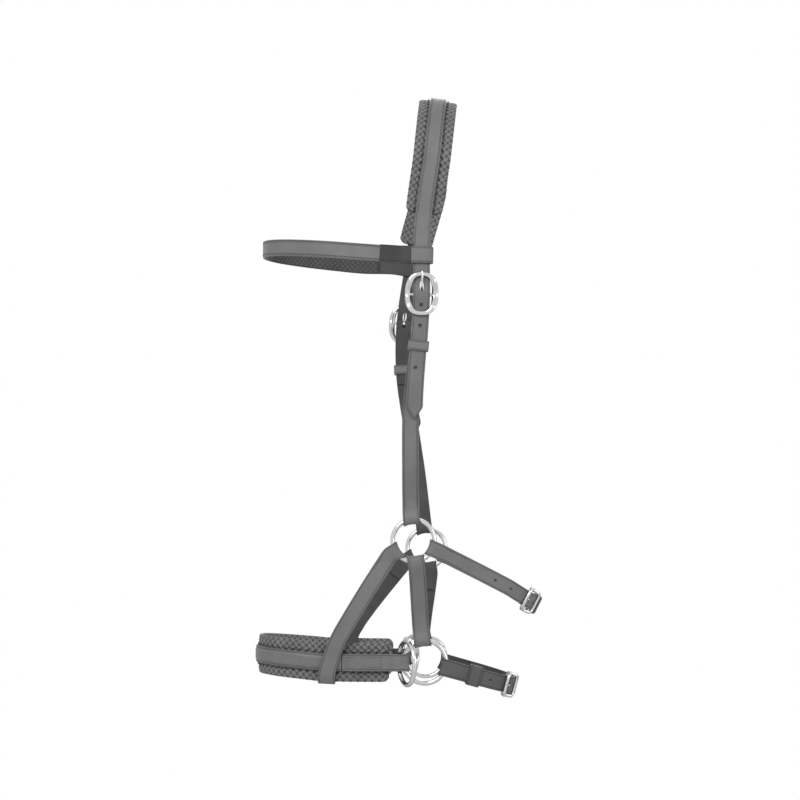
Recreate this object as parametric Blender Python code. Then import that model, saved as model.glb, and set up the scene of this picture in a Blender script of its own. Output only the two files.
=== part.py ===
"""Sidepull bridle: strap by strap, every strap a ribbon that follows a lane.

Design units are millimetres, turned into metres when a mesh is made.
X runs to the back of the head, minus Y is the near side, Z is up.
The origin is the underside of the crown pad, where it rests on the poll.

A lane is a smooth line with a frame: s runs along it, n points away from
the horse and b runs across the strap. Straps, folds, keepers and buckles are
drawn flat in (s, n, b) and the lane bends them round the head.
"""
import math

import bmesh
import bpy
from mathutils import Vector

MM = 0.001

# straps
STRAP_HALF = 8.5        # half the width of the main straps
THIN_HALF = 8.0         # half the width of the jaw strap
LEATHER = 2.0           # thickness of one layer
SLOT = 0.3              # space between pieces that lie on each other
RAISE = 0.8             # how far the rounded centre of a raised strap stands up
HOLE_R = 2.0            # punched holes
CROWN_PITCH = 21.0      # holes of the billets on the cheeks
LOOP_PITCH = 17.5       # holes of the jaw strap and the chin strap

# pads
PAD_THICK = 5.5
CROWN_PAD_HALF = 19.2
POLL_EXTRA = 1.2
NOSE_PAD_HALF = 20.0
LINING_THICK = 1.6
PATCH_THICK = 0.8
PATCH_LENGTH = 31.0

# metal
RING_R = 21.0           # centre line of every ring
WIRE_R = 2.35
BAR_R = 1.6
OVAL_LONG = 19.9        # oval buckle, half length of the centre line
OVAL_WIDE = 13.6
SQUARE_LONG = 10.4      # square buckle of the jaw strap and the chin strap
SQUARE_WIDE = 11.2
RIM_THICK = 3.2
TONGUE_WIDE = 2.6
TONGUE_THICK = 1.4
REIN_YAW = 67.0         # how far the rein rings stand out from the cheek
VERTICAL_AIM = 277.5    # direction in which the vertical strap leaves the upper ring
DIAGONAL_AIM = 213.0    # direction in which the diagonal strap leaves the upper ring

# shape on the head
CHEEK_LONG = 460.0      # poll to the upper rings
FACE_LONG = 120.8       # upper ring to lower ring
HEAD_HALF = 87.6        # half the distance between the crown legs
NOSE_HALF = 63.0        # half the distance between the cheeks of the noseband
LEAN = 0.11             # the crown leans back by this much per unit of height
ARCH_FLAT = 20.0
ARCH_HALF = HEAD_HALF - 3.1
ARCH_DROP = 75.0
BROW_HALF = HEAD_HALF + 1.4
BROW_START = 59.0
BROW_REACH = 125.0
BROW_RISE = 12.8
NOSE_START = 97.1
NOSE_REACH = 92.5
NOSE_RISE = 8.0
JAW_DROP = 27.5
JAW_REACH = 134.0
JAW_HALF = NOSE_HALF + 7.0
JAW_LIFT = 4.0
CHIN_DROP = 15.5
CHIN_REACH = 92.0
CHIN_HALF = NOSE_HALF + 1.0
BILLET_TAIL = 125.0     # billet below the bar of the cheek buckle
KEEPER_DOWN = 52.0      # cheek keeper below the bar of the cheek buckle
KEEPER_LONG = 10.0
KEEPER_THICK = 1.6

# heights of the layers, all measured from the middle of a doubled strap
LAYER = (LEATHER + SLOT) / 2
RING_FOLD = WIRE_R + 0.5 + LEATHER / 2
BAR_FOLD = BAR_R + 0.3 + LEATHER / 2
BILLET = LAYER + LEATHER + SLOT
OVER_BAR = BAR_FOLD + LEATHER + SLOT
RIM_UP = BILLET + LEATHER / 2 + SLOT + RIM_THICK / 2
PAD_MID = BILLET - LEATHER / 2 - SLOT - PAD_THICK / 2
PAD_UNDER = PAD_MID - PAD_THICK / 2
NOSE_STRAP = -LAYER
NOSE_PAD = NOSE_STRAP - LEATHER / 2 - SLOT - PAD_THICK / 2

LEATHER_COLOR = (0.036, 0.037, 0.038, 1.0)
PAD_COLOR = (0.022, 0.023, 0.024, 1.0)
DARK_COLOR = (0.012, 0.012, 0.013, 1.0)
METAL_COLOR = (0.78, 0.78, 0.76, 1.0)


def material(name, color, metallic, rough):
    """A material of its own for one node."""
    mat = bpy.data.materials.new(name)
    mat.use_nodes = True
    shader = mat.node_tree.nodes["Principled BSDF"]
    shader.inputs["Base Color"].default_value = color
    shader.inputs["Metallic"].default_value = metallic
    shader.inputs["Roughness"].default_value = rough
    return mat


LOOKS = {"leather": (LEATHER_COLOR, 0.0, 0.5), "pad": (PAD_COLOR, 0.0, 0.8),
         "dark": (DARK_COLOR, 0.0, 0.7), "metal": (METAL_COLOR, 1.0, 0.16)}


def smooth(mesh):
    """Round pieces look round, edges of leather stay edges."""
    mesh.shade_smooth()
    mesh.set_sharp_from_angle(angle=math.radians(38))


def add(name, verts, faces, look, pivot=None):
    """One closed body from points in millimetres, its origin on the pivot."""
    pivot = Vector(pivot) if pivot is not None else Vector((0, 0, 0))
    mesh = bpy.data.meshes.new(name)
    mesh.from_pydata([(v - pivot) * MM for v in verts], [], faces)
    bm = bmesh.new()
    bm.from_mesh(mesh)
    bmesh.ops.recalc_face_normals(bm, faces=bm.faces)
    caps = [f for f in bm.faces if len(f.verts) > 4]
    bmesh.ops.triangulate(bm, faces=caps)
    if bm.calc_volume(signed=True) < 0:
        bmesh.ops.reverse_faces(bm, faces=bm.faces)
    bm.to_mesh(mesh)
    bm.free()
    smooth(mesh)
    obj = bpy.data.objects.new(name, mesh)
    obj.location = pivot * MM
    bpy.context.scene.collection.objects.link(obj)
    if look:
        mesh.materials.append(material(name, *LOOKS[look]))
    return obj


def combine(obj, other, operation):
    """Boolean with a helper body that goes away afterwards."""
    mod = obj.modifiers.new("step", "BOOLEAN")
    mod.operation = operation
    mod.solver = "EXACT"
    mod.object = other
    other.hide_render = True
    other.display_type = "WIRE"
    graph = bpy.context.evaluated_depsgraph_get()
    result = bpy.data.meshes.new_from_object(obj.evaluated_get(graph))
    obj.modifiers.clear()
    keep = obj.data.materials[0]
    obj.data = result
    obj.data.materials.clear()
    obj.data.materials.append(keep)
    for poly in obj.data.polygons:
        poly.material_index = 0
    smooth(obj.data)
    bpy.data.objects.remove(other, do_unlink=True)
    return obj


class Lane:
    """A smooth line through points, with the direction across the strap."""

    def __init__(self, points, across):
        self.p = [Vector(p) for p in points]
        self.b = [Vector(b) for b in across]
        self.s = [0.0]
        for one, two in zip(self.p, self.p[1:]):
            self.s.append(self.s[-1] + (two - one).length)
        last = len(self.p) - 1
        self.m = []
        for i in range(last + 1):
            lo, hi = max(0, i - 1), min(last, i + 1)
            self.m.append((self.p[hi] - self.p[lo]) / (self.s[hi] - self.s[lo]))
        self.length = self.s[-1]

    def frame(self, s):
        """Point, along, outward and across at s."""
        inside = min(max(s, 0.0), self.length)
        i = 0
        while i < len(self.s) - 2 and self.s[i + 1] < inside:
            i += 1
        span = self.s[i + 1] - self.s[i]
        t = (inside - self.s[i]) / span
        a, b, c, d = self.p[i], self.m[i] * span, self.p[i + 1], self.m[i + 1] * span
        point = (a * (2 * t**3 - 3 * t**2 + 1) + b * (t**3 - 2 * t**2 + t)
                 + c * (3 * t**2 - 2 * t**3) + d * (t**3 - t**2))
        along = (a * (6 * t**2 - 6 * t) + b * (3 * t**2 - 4 * t + 1)
                 + c * (6 * t - 6 * t**2) + d * (3 * t**2 - 2 * t)).normalized()
        across = self.b[i].lerp(self.b[i + 1], t)
        across = (across - along * across.dot(along)).normalized()
        out = along.cross(across)
        return point + along * (s - inside), along, out, across

    def point(self, s, n=0.0, b=0.0):
        origin, _, out, across = self.frame(s)
        return origin + out * n + across * b

    def where_y(self, y):
        """First s at which the lane reaches this y."""
        s = 0.0
        while self.frame(s)[0].y < y and s < self.length:
            s += 0.25
        return s


class Block:
    """A straight frame at one place of a lane, for rigid metal pieces."""

    def __init__(self, lane, s, way, tilt=0.0):
        self.o, along, self.n, across = lane.frame(s)
        c, d = math.cos(math.radians(tilt)), math.sin(math.radians(tilt))
        self.t = (along * c + across * d) * way
        self.b = (across * c - along * d) * way

    def point(self, s, n=0.0, b=0.0):
        return self.o + self.t * s + self.n * n + self.b * b


class Ring:
    """Plane of a ring: centre, forward-back, up and outward."""

    def __init__(self, centre, above, outward):
        self.c = Vector(centre)
        self.out = outward.normalized()
        self.up = (above - self.out * above.dot(self.out)).normalized()
        x = Vector((1, 0, 0))
        self.back = (x - self.up * x.dot(self.up) - self.out * x.dot(self.out)).normalized()

    def aim(self, target):
        """Direction in the plane of the ring towards a point."""
        v = Vector(target) - self.c
        return (v - self.out * v.dot(self.out)).normalized()

    def toward(self, degrees):
        """A point in a direction given as an angle in the side view."""
        a = math.radians(degrees)
        return self.c + Vector((math.cos(a), 0, math.sin(a))) * 100

    def keys(self, target, leaving=True):
        """Lane points and across directions of a strap that meets the ring."""
        u = self.aim(target)
        points = [self.c + u * d for d in (0.0, RING_R, RING_R + 8.0)]
        across = self.out.cross(u if leaving else -u)
        return (points if leaving else points[::-1]), [across] * 3


def strap_profile(half, thick, raised=0.0):
    """Strap outline from edge to edge: small bevels, flat or raised centre."""
    t = thick / 2
    e = min(0.5, t * 0.6)
    under = [(-half, -t), (half, -t), (half, t - e), (half - e, t)]
    top = []
    if raised:
        top = [(half - 2.4, t), (half - 4.2, t + raised), (4.2 - half, t + raised),
               (2.4 - half, t)]
    return under + top + [(-half + e, t), (-half, t - e)]


def pad_profile(half, thick, raised=0.0):
    """Soft pad: rolled edges and a flat middle."""
    t = thick / 2
    side = [(half - 3.2, -t), (half - 0.9, -t * 0.62), (half, 0.0),
            (half - 0.9, t * 0.62), (half - 3.2, t)]
    return side + [(-b, n) for b, n in side[::-1]]


def spread(path, step):
    """Path points with none further apart than the step."""
    out = [path[0]]
    for one, two in zip(path, path[1:]):
        parts = max(1, math.ceil(abs(two[0] - one[0]) / step))
        for k in range(1, parts + 1):
            out.append(tuple(a + (b - a) * k / parts for a, b in zip(one, two)))
    return out


def bend(path):
    """Fill a path entry up to (s, n, ring pull, sideways)."""
    return [tuple(p) + (0.0,) * (4 - len(p)) for p in path]


def ribbon(name, look, lane, path, half=STRAP_HALF, thick=LEATHER, raised=0.0, step=9.0,
           profile=strap_profile, narrow=None, pivot=None):
    """Sweep a strap section along a path of (s, n, ring pull, sideways)."""
    path = spread(bend(path), step)
    verts, count = [], 0
    for i, (s, n, pull, side) in enumerate(path):
        before, after = path[max(0, i - 1)], path[min(len(path) - 1, i + 1)]
        ds, dn = after[0] - before[0], after[1] - before[1]
        size = math.hypot(ds, dn)
        ms, mn = -dn / size, ds / size
        scale = narrow(s) if narrow else 1.0
        section = profile(half, thick, raised)
        count = len(section)
        for b, m in section:
            b = b * scale
            sag = RING_R - math.sqrt(RING_R**2 - min(abs(b), 15.0)**2) if pull else 0.0
            verts.append(lane.point(s + ms * m + pull * sag, n + mn * m, b + side))
    faces = []
    for i in range(len(path) - 1):
        for k in range(count):
            j = (k + 1) % count
            faces.append((i * count + k, i * count + j, (i + 1) * count + j, (i + 1) * count + k))
    faces.append(tuple(range(count)))
    faces.append(tuple(range(len(verts) - count, len(verts))))
    return add(name, verts, faces, look, pivot)


def ease(t):
    return t * t * (3 - 2 * t)


def fold(at, radius, way, pull=0.0, reach=14.0, slot=LAYER, mid=0.0):
    """Turn of a strap round a wire: way 1 at the high end, minus 1 at the low end."""
    steps = 3
    lead = []
    for k in range(steps + 1):
        t = k / steps
        lead.append((at - way * reach * (1 - t), slot + (radius - slot) * ease(t), pull * ease(t)))
    arc = []
    for k in range(1, 6):
        a = math.pi / 2 - math.pi * k / 6
        arc.append((at + way * radius * math.cos(a), radius * math.sin(a), pull))
    back = [(s, -n, p) for s, n, p in lead[::-1]]
    whole = lead + arc + back
    if way < 0:
        whole = [(s, -n, p) for s, n, p in whole]
    return [(s, n + mid, p) for s, n, p in whole]


def doubled(low, high):
    """Strap turned back at both ends: low and high are (at, radius, pull, reach, tail)."""
    start = fold(low[0], low[1], -1, -low[2], low[3])
    end = fold(high[0], high[1], 1, high[2], high[3])
    tail_low = [(low[0] + low[4], -LAYER)]
    tail_high = [(high[0] - high[4], -LAYER)]
    return tail_low + start + end + tail_high


def tube(name, look, lane, at, long, half, low, high, thick=KEEPER_THICK, pivot=None):
    """Keeper: a band of its own round the layers of a strap."""
    verts = []
    corner = 0.8
    for grow in (0.0, thick):
        w, a, b, c = half + grow, low - grow, high + grow, corner + grow * 0.6
        loop = [(w - c, a), (w, a + c), (w, b - c), (w - c, b),
                (-w + c, b), (-w, b - c), (-w, a + c), (-w + c, a)]
        for s in (at - long / 2, at + long / 2):
            verts += [lane.point(s, n, x) for x, n in loop]
    faces = []
    for k in range(8):
        j = (k + 1) % 8
        for one, two in ((0, 8), (8, 24), (24, 16), (16, 0)):
            faces.append((one + k, one + j, two + j, two + k))
    return add(name, verts, faces, look, pivot)


def sweep_closed(name, look, place, centre, size, count, sides=6, pivot=None):
    """Closed metal frame: centre(a) gives the line, size(a) the half width and thickness."""
    verts = []
    for i in range(count):
        a = 2 * math.pi * i / count
        here, ahead, behind = centre(a), centre(a + 0.02), centre(a - 0.02)
        ds, db = ahead[0] - behind[0], ahead[2] - behind[2]
        length = math.hypot(ds, db)
        ns, nb = db / length, -ds / length
        wide, thick = size(a)
        for k in range(sides):
            c = 2 * math.pi * (k + 0.5) / sides
            w = wide * math.cos(c) * 1.08
            t = thick * math.sin(c) * 1.08
            verts.append(place.point(here[0] + ns * w, here[1] + t, here[2] + nb * w))
    faces = []
    for i in range(count):
        j = (i + 1) % count
        for k in range(sides):
            m = (k + 1) % sides
            faces.append((i * sides + k, i * sides + m, j * sides + m, j * sides + k))
    return add(name, verts, faces, look, pivot)


def power(value, exponent):
    return math.copysign(abs(value) ** exponent, value)


def buckle(name, place, long, wide, square, side_rim, end_rim):
    """Centre bar buckle whose rims bow up over the layers of the strap."""
    def centre(a):
        s = long * power(math.cos(a), 2 / square)
        b = wide * power(math.sin(a), 2 / square)
        return s, RIM_UP * ease(min(1.0, abs(s) / (long * 0.72))), b

    def size(a):
        t = abs(math.sin(a)) ** 2
        return end_rim + (side_rim - end_rim) * t, RIM_THICK / 2

    frame = sweep_closed(name, "metal", place, centre, size, 28, pivot=place.o)
    return combine(frame, rod(place, wide - side_rim * 0.3), "UNION")


def rod(place, reach):
    """Centre bar, a helper that is joined to its frame."""
    verts, sides = [], 10
    for b in (-reach, reach):
        for k in range(sides):
            a = 2 * math.pi * (k + 0.5) / sides
            verts.append(place.point(BAR_R * math.cos(a), BAR_R * math.sin(a), b))
    faces = [(k, (k + 1) % sides, sides + (k + 1) % sides, sides + k) for k in range(sides)]
    faces += [tuple(range(sides)), tuple(range(sides, 2 * sides))]
    return add("rod", verts, faces, None, place.o)


def tongue(name, place, long):
    """Tongue: an eye round the bar, then a prong that rests on the rim."""
    radius = BAR_R + 0.3 + TONGUE_THICK / 2
    path = []
    for k in range(10):
        a = math.radians(-8 - 262 * k / 9)
        path.append((radius * math.cos(a), radius * math.sin(a)))
    rest = RIM_UP + RIM_THICK / 2 * 1.08 + SLOT + TONGUE_THICK / 2
    rise = long * 0.24
    path += [(long * 0.13, radius + 0.3), (long * 0.13 + rise * 0.5, radius + 1.3),
             (long * 0.13 + rise, (radius + rest) / 2 + 0.9), (long * 0.62, rest - 0.9),
             (long * 0.85, rest), (long + 2.4, rest + 0.05)]
    return ribbon(name, "metal", place, path, half=TONGUE_WIDE / 2, thick=TONGUE_THICK,
                  profile=rod_profile, step=20.0, pivot=place.o)


def rod_profile(half, thick, raised=0.0):
    e, t = 0.4, thick / 2
    return [(-half + e, -t), (half - e, -t), (half, -t + e), (half, t - e),
            (half - e, t), (-half + e, t), (-half, t - e), (-half, -t + e)]


def punch(lane, holes, low, high):
    """Helper with one prism for every hole (s, length, half width)."""
    verts, faces, sides = [], [], 10
    for s, long, wide in holes:
        start = len(verts)
        for n in (low, high):
            for k in range(sides):
                a = 2 * math.pi * (k + 0.5) / sides
                shift = math.copysign(long / 2, math.cos(a))
                verts.append(lane.point(s + shift + wide * math.cos(a), n, wide * math.sin(a)))
        for k in range(sides):
            j = (k + 1) % sides
            faces.append((start + k, start + j, start + sides + j, start + sides + k))
        faces.append(tuple(range(start, start + sides)))
        faces.append(tuple(range(start + sides, start + 2 * sides)))
    return add("punch", verts, faces, None)


def ring_mesh(name, centre, axis, aside, pivot=None):
    """Round wire ring."""
    axis = axis.normalized()
    one = aside.normalized()
    two = axis.cross(one)
    verts, count, sides = [], 32, 6
    for i in range(count):
        a = 2 * math.pi * i / count
        radial = one * math.cos(a) + two * math.sin(a)
        for k in range(sides):
            c = 2 * math.pi * (k + 0.5) / sides
            verts.append(centre + radial * (RING_R + WIRE_R * math.cos(c))
                         + axis * WIRE_R * math.sin(c))
    faces = []
    for i in range(count):
        j = (i + 1) % count
        for k in range(sides):
            m = (k + 1) % sides
            faces.append((i * sides + k, i * sides + m, j * sides + m, j * sides + k))
    return add(name, verts, faces, "metal", centre if pivot is None else pivot)


def round_end(front, half, square, steps=5):
    """Forward and sideways points of a rounded U, from the near side to the far side."""
    out = []
    for k in range(-steps, steps + 1):
        a = math.pi / 2 * k / (steps + 0.6)
        out.append((front * power(math.cos(a), 2 / square), half * power(math.sin(a), 2 / square)))
    return out


for old in list(bpy.data.objects):
    bpy.data.objects.remove(old, do_unlink=True)

# the four rings of the cheeks, each side where the photograph has it
SIDES = ("near", "far")
upper_c = {"near": Vector((-26.6, -NOSE_HALF - 9.0, -CHEEK_LONG + 1.9)),
           "far": Vector((-11.1, NOSE_HALF + 9.0, -CHEEK_LONG - 6.3))}
lower_c = {"near": upper_c["near"] + Vector((11.4, 6.0, -FACE_LONG)),
           "far": upper_c["far"] + Vector((-0.8, -6.0, -FACE_LONG + 3.6))}
upper, lower = {}, {}
for side in SIDES:
    above = upper_c[side] - lower_c[side]
    sign = -1 if side == "near" else 1
    upper[side] = Ring(upper_c[side], above, (upper_c["far"] - upper_c["near"]) * sign)
    lower[side] = Ring(lower_c[side], above, (lower_c["far"] - lower_c["near"]) * sign)

# lane of the headstall: near upper ring, cheek, over the poll, cheek, far upper ring
def leg(places):
    """Places of a leg: forward and down in parts of CHEEK_LONG, sideways of HEAD_HALF."""
    return [Vector((-f * CHEEK_LONG, y * HEAD_HALF, -d * CHEEK_LONG)) for f, y, d in places]


near_leg = leg([(0.0643, -0.879, 0.8413), (0.0635, -0.9247, 0.7152), (0.0565, -0.9623, 0.6413),
                (0.0465, -0.9886, 0.5674), (0.04, -1.0, 0.46), (0.0400, -0.9886, 0.3739),
                (0.0348, -0.968, 0.2793)])
far_leg = leg([(0.0435, 0.8904, 0.8413), (0.0609, 0.9361, 0.7217), (0.0783, 0.9817, 0.5935),
               (0.0774, 1.0, 0.4696), (0.0587, 0.9886, 0.3348), (0.0500, 0.968, 0.2793)])
near_points, near_across = upper["near"].keys(upper_c["near"] + upper["near"].up * 90)
far_points, far_across = upper["far"].keys(far_leg[0], leaving=False)
arch = []
for k in range(6):
    a = math.radians(15 * k)
    arch.append((-ARCH_FLAT - (ARCH_HALF - ARCH_FLAT) * math.cos(a),
                 ARCH_DROP * (math.sin(a) - 1) - PAD_UNDER))
arch += [(-ARCH_FLAT, -PAD_UNDER), (-ARCH_FLAT / 2, -PAD_UNDER), (0.0, -PAD_UNDER)]
arch += [(-y, h) for y, h in arch[-2::-1]]
lean_up = Vector((LEAN, 0, 1)).normalized()
arch_points = [lean_up * h + Vector((0, y, 0)) for y, h in arch]
forward = Vector((-1, 0, LEAN)).normalized()
level = Vector((-1, 0, 0))
head_points = near_points + near_leg + arch_points + far_leg[::-1] + far_points
head_across = (near_across + [level] * len(near_leg) + [forward] * len(arch_points)
               + [level] * len(far_leg) + far_across)
head = Lane(head_points, head_across)
first = len(near_points)
bar_s = {"near": head.s[first + 4]}
loop_s = {"near": head.s[first + 5]}
pad_s = {"near": head.s[first + 6]}
after = first + len(near_leg) + len(arch_points)
pad_s["far"] = head.s[after]
loop_s["far"] = head.s[after + 1]
bar_s["far"] = head.s[after + 2]
WAY = {"near": 1, "far": -1}

# crown strap with its two billets
start = bar_s["near"] - BILLET_TAIL
finish = bar_s["far"] + BILLET_TAIL


def over_bar(at, reach=7.0):
    """Bump of a billet over a buckle bar."""
    return [(at - reach * 1.9, BILLET), (at - reach, BILLET + 0.55 * (OVER_BAR - BILLET)),
            (at - reach * 0.4, OVER_BAR), (at + reach * 0.4, OVER_BAR),
            (at + reach, BILLET + 0.55 * (OVER_BAR - BILLET)), (at + reach * 1.9, BILLET)]


def pointed(low, high):
    def narrow(s):
        d = min(s - low, high - s)
        return min(1.0, (1.4 + d * 0.62) / STRAP_HALF)
    return narrow


drift = -3.6
flat_from = head.s[first + len(near_leg) + 6]
pad_stops = [pad_s["near"] + d for d in (0.0, 2.0, 6.0)]
pad_stops += [flat_from + ARCH_FLAT / 2 * k for k in range(5)]
pad_stops += [pad_s["far"] - d for d in (6.0, 2.0, 0.0)]
crown_path = [(start, BILLET, 0, drift), (start + 3, BILLET, 0, drift),
              (start + 13, BILLET, 0, drift * 0.9), (start + 50, BILLET, 0, drift * 0.35),
              (start + 68, BILLET)]
crown_path += over_bar(bar_s["near"]) + [(s, BILLET) for s in pad_stops]
crown_path += over_bar(bar_s["far"])
crown_path += [(finish - 68, BILLET), (finish - 50, BILLET, 0, drift * 0.35),
               (finish - 13, BILLET, 0, drift * 0.9), (finish - 3, BILLET, 0, drift),
               (finish, BILLET, 0, drift)]
crown = ribbon("crown_strap", "leather", head, crown_path, step=10.0,
               narrow=pointed(start, finish))
holes = []
for side in SIDES:
    for k in range(5):
        spot = bar_s[side] + WAY[side] * (10.0 - k * CROWN_PITCH)
        if k == 0:
            spot -= WAY[side] * 1.8
        holes.append((spot, 7.4 if k == 0 else 0.0, HOLE_R))
combine(crown, punch(head, holes, 0.0, 9.0), "DIFFERENCE")


def pad_width(low, high):
    """Pad a little wider at the poll, with rounded corners at its ends."""
    def narrow(s):
        t = (s - low) / (high - low)
        d = min(s - low, high - s)
        corner = 1.0 - 0.3 * (1 - min(1.0, d / 6.0)) ** 2
        return (1 + POLL_EXTRA / CROWN_PAD_HALF * math.sin(math.pi * t)) * corner
    return narrow


ribbon("crown_pad", "pad", head, [(s, PAD_MID) for s in pad_stops], half=CROWN_PAD_HALF,
       thick=PAD_THICK, profile=pad_profile, step=10.0,
       narrow=pad_width(pad_s["near"], pad_s["far"]))

# browband: strap, lining, bare patch and a loop round each crown leg
near_loop = head.point(loop_s["near"], BILLET)
far_loop = head.point(loop_s["far"], BILLET)
brow_points = [near_loop, near_loop + head.frame(loop_s["near"])[3] * 22]
for f, y in round_end(BROW_REACH, BROW_HALF, 2.3, 6):
    t = (y / BROW_HALF + 1) / 2
    base = near_loop.lerp(far_loop, t)
    brow_points.append(Vector((-BROW_START - f, y,
                               base.z + BROW_RISE * (f + 20) / (BROW_REACH + 20))))
brow_points += [far_loop + head.frame(loop_s["far"])[3] * 22, far_loop]
down_near = -head.frame(loop_s["near"])[1]
down_far = head.frame(loop_s["far"])[1]
brow_across = [down_near] * 2 + [Vector((0, 0, -1))] * (len(brow_points) - 4) + [down_far] * 2
brow = Lane(brow_points, brow_across)
LOOP_N = LEATHER + SLOT + 0.3
front_end = 10.7


def brow_strap_path(low, high, lift=0.0):
    mid = (LEATHER + SLOT) / 2 + lift
    ends = [(0.0, LOOP_N + lift), (10.0, mid)]
    return ([(low + d, n) for d, n in ends if low + d < high]
            + [(high - d, n) for d, n in ends[::-1] if high < brow.length - 30 and d == 0]
            + ([(high - 10.0, mid), (high, LOOP_N + lift)] if high > brow.length - 30 else []))


low, high = front_end + SLOT, brow.length - front_end - SLOT
ribbon("browband_strap", "leather", brow, brow_strap_path(low, high), step=10.0)
lining_n = LAYER - LEATHER / 2 - SLOT - LINING_THICK / 2
ribbon("browband_lining", "dark", brow,
       [(14.0, lining_n), (low + 10.0, lining_n), (high - 10.0, lining_n),
        (brow.length - 14.0, lining_n)], thick=LINING_THICK, step=10.0)
patch_n = LEATHER / 2 + 0.15 + PATCH_THICK / 2
patch_path = [(low, LOOP_N + patch_n), (low + 10, LAYER + patch_n),
              (low + PATCH_LENGTH, LAYER + patch_n)]
ribbon("browband_patch", "dark", brow, patch_path, half=STRAP_HALF + 0.3,
       thick=PATCH_THICK, step=8.0)
tail_n = lining_n - LINING_THICK / 2 - SLOT - LEATHER / 2
turn = STRAP_HALF - 0.2
arc = []
for k in range(9):
    a = math.radians(-90 - 180 * k / 8)
    arc.append((-turn + LOOP_N * math.cos(a), LOOP_N * math.sin(a)))
loop_path = [(36.0, tail_n), (16.0, tail_n), (10.0, -LOOP_N)] + arc + [(front_end, LOOP_N)]
ribbon("near_browband_loop", "leather", brow, loop_path)
mirror = [(brow.length - s, n) for s, n in loop_path[::-1]]
ribbon("far_browband_loop", "leather", brow, mirror)

# cheek buckles, cheekpieces and keepers
for side in SIDES:
    way = WAY[side]
    place = Block(head, bar_s[side], way)
    buckle(side + "_cheek_buckle", place, OVAL_LONG, OVAL_WIDE, 2.6, 3.3, 2.15)
    tongue(side + "_cheek_tongue", place, OVAL_LONG)
    ring_end = (RING_R, RING_FOLD, 1.0, 14.0, 26.0)
    bar_end = (bar_s[side], BAR_FOLD, 0.0, 14.0, 68.0)
    if side == "near":
        path = doubled(ring_end, bar_end)
    else:
        ring_end = (head.length - RING_R,) + ring_end[1:]
        path = doubled(bar_end, ring_end)
    cheek = ribbon(side + "_cheekpiece", "leather", head, path, step=20.0)
    combine(cheek, punch(head, [(bar_s[side], 6.0, TONGUE_WIDE / 2 + 0.6)], -9.0, 9.0),
            "DIFFERENCE")
    spot = bar_s[side] - way * KEEPER_DOWN
    tube(side + "_cheek_keeper", "leather", head, spot, KEEPER_LONG, STRAP_HALF + 0.4,
         -LAYER - LEATHER / 2 - SLOT, BILLET + LEATHER / 2 + SLOT, pivot=head.point(spot))

# rings and the vertical straps between them
swing = upper_c["near"]
nose_targets = {"near": Vector((-NOSE_START, -NOSE_HALF + 0.5, lower_c["near"].z - 2.1)),
                "far": Vector((-NOSE_START, NOSE_HALF - 0.5, lower_c["far"].z + 0.1))}
for side in SIDES:
    u, w = upper[side], lower[side]
    ring_mesh(side + "_upper_ring", u.c, u.out, u.back)
    ring_mesh(side + "_lower_ring", w.c, w.out, w.back)
    top_keys, top_across = u.keys(u.toward(VERTICAL_AIM))
    low_keys, low_across = w.keys(w.toward(VERTICAL_AIM - 180.0), leaving=False)
    span = Lane(top_keys + low_keys, top_across + low_across)
    ends = [(at, RING_FOLD, 1.0, 14.0, 24.0) for at in (RING_R, span.length - RING_R)]
    ribbon(side + "_vertical_strap", "leather", span, doubled(*ends), raised=RAISE,
           step=30.0, pivot=u.c)

# noseband: lane from the near lower ring round the nose to the far lower ring
near_points, near_across = lower["near"].keys(nose_targets["near"])
far_points, far_across = lower["far"].keys(nose_targets["far"], leaving=False)
nose_mid = []
for f, y in round_end(NOSE_REACH, NOSE_HALF, 2.5, 6):
    t = (y / NOSE_HALF + 1) / 2
    z = nose_targets["near"].lerp(nose_targets["far"], t).z + NOSE_RISE * f / NOSE_REACH
    nose_mid.append(Vector((-NOSE_START - f, y, z)))
nose = Lane(near_points + nose_mid + far_points,
            near_across + [Vector((0, 0, -1))] * len(nose_mid) + far_across)
REIN_AT = RING_R + 2 * WIRE_R + 0.5
FRONT_AT = 83.0
pad_low, pad_high = 35.5, nose.length - 35.5


def nose_end(flip):
    """End fold that holds the lower ring and the rein ring side by side."""
    r = RING_FOLD
    turn = [(RING_R + r * math.cos(a), r * math.sin(a), -1.0)
            for a in [math.radians(-90 - 22.5 * k) for k in range(9)]]
    inner = [(58.0, -LAYER), (35.0, -LAYER), (32.5, -LAYER - 0.4), (29.5, -r + 0.9, -0.4),
             (26.0, -r, -0.8)]
    outer = [(REIN_AT - 1.5, r + 1.7, -0.8), (REIN_AT + 3.0, r + 1.7, -0.3),
             (REIN_AT + 9.0, LAYER + 1.4), (REIN_AT + 15.0, LAYER), (66.0, LAYER),
             (78.0, -LAYER), (FRONT_AT, -LAYER)]
    path = inner + turn + outer
    if flip:
        path = [(nose.length - p[0], p[1], -(p[2] if len(p) > 2 else 0.0)) for p in path[::-1]]
    return path


def full(path):
    return [p for p in bend(path)]


ribbon("near_noseband_end", "leather", nose, full(nose_end(False)), step=8.0, pivot=swing)
ribbon("far_noseband_end", "leather", nose, full(nose_end(True)), step=8.0, pivot=swing)
ribbon("noseband_strap", "leather", nose,
       [(FRONT_AT + SLOT * 2, NOSE_STRAP), (nose.length - FRONT_AT - SLOT * 2, NOSE_STRAP)],
       raised=RAISE, step=9.0, pivot=swing)


def nose_pad_width(s):
    d = min(s - pad_low, pad_high - s)
    return 1.0 - 0.25 * (1 - min(1.0, d / 6.0)) ** 2


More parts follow.
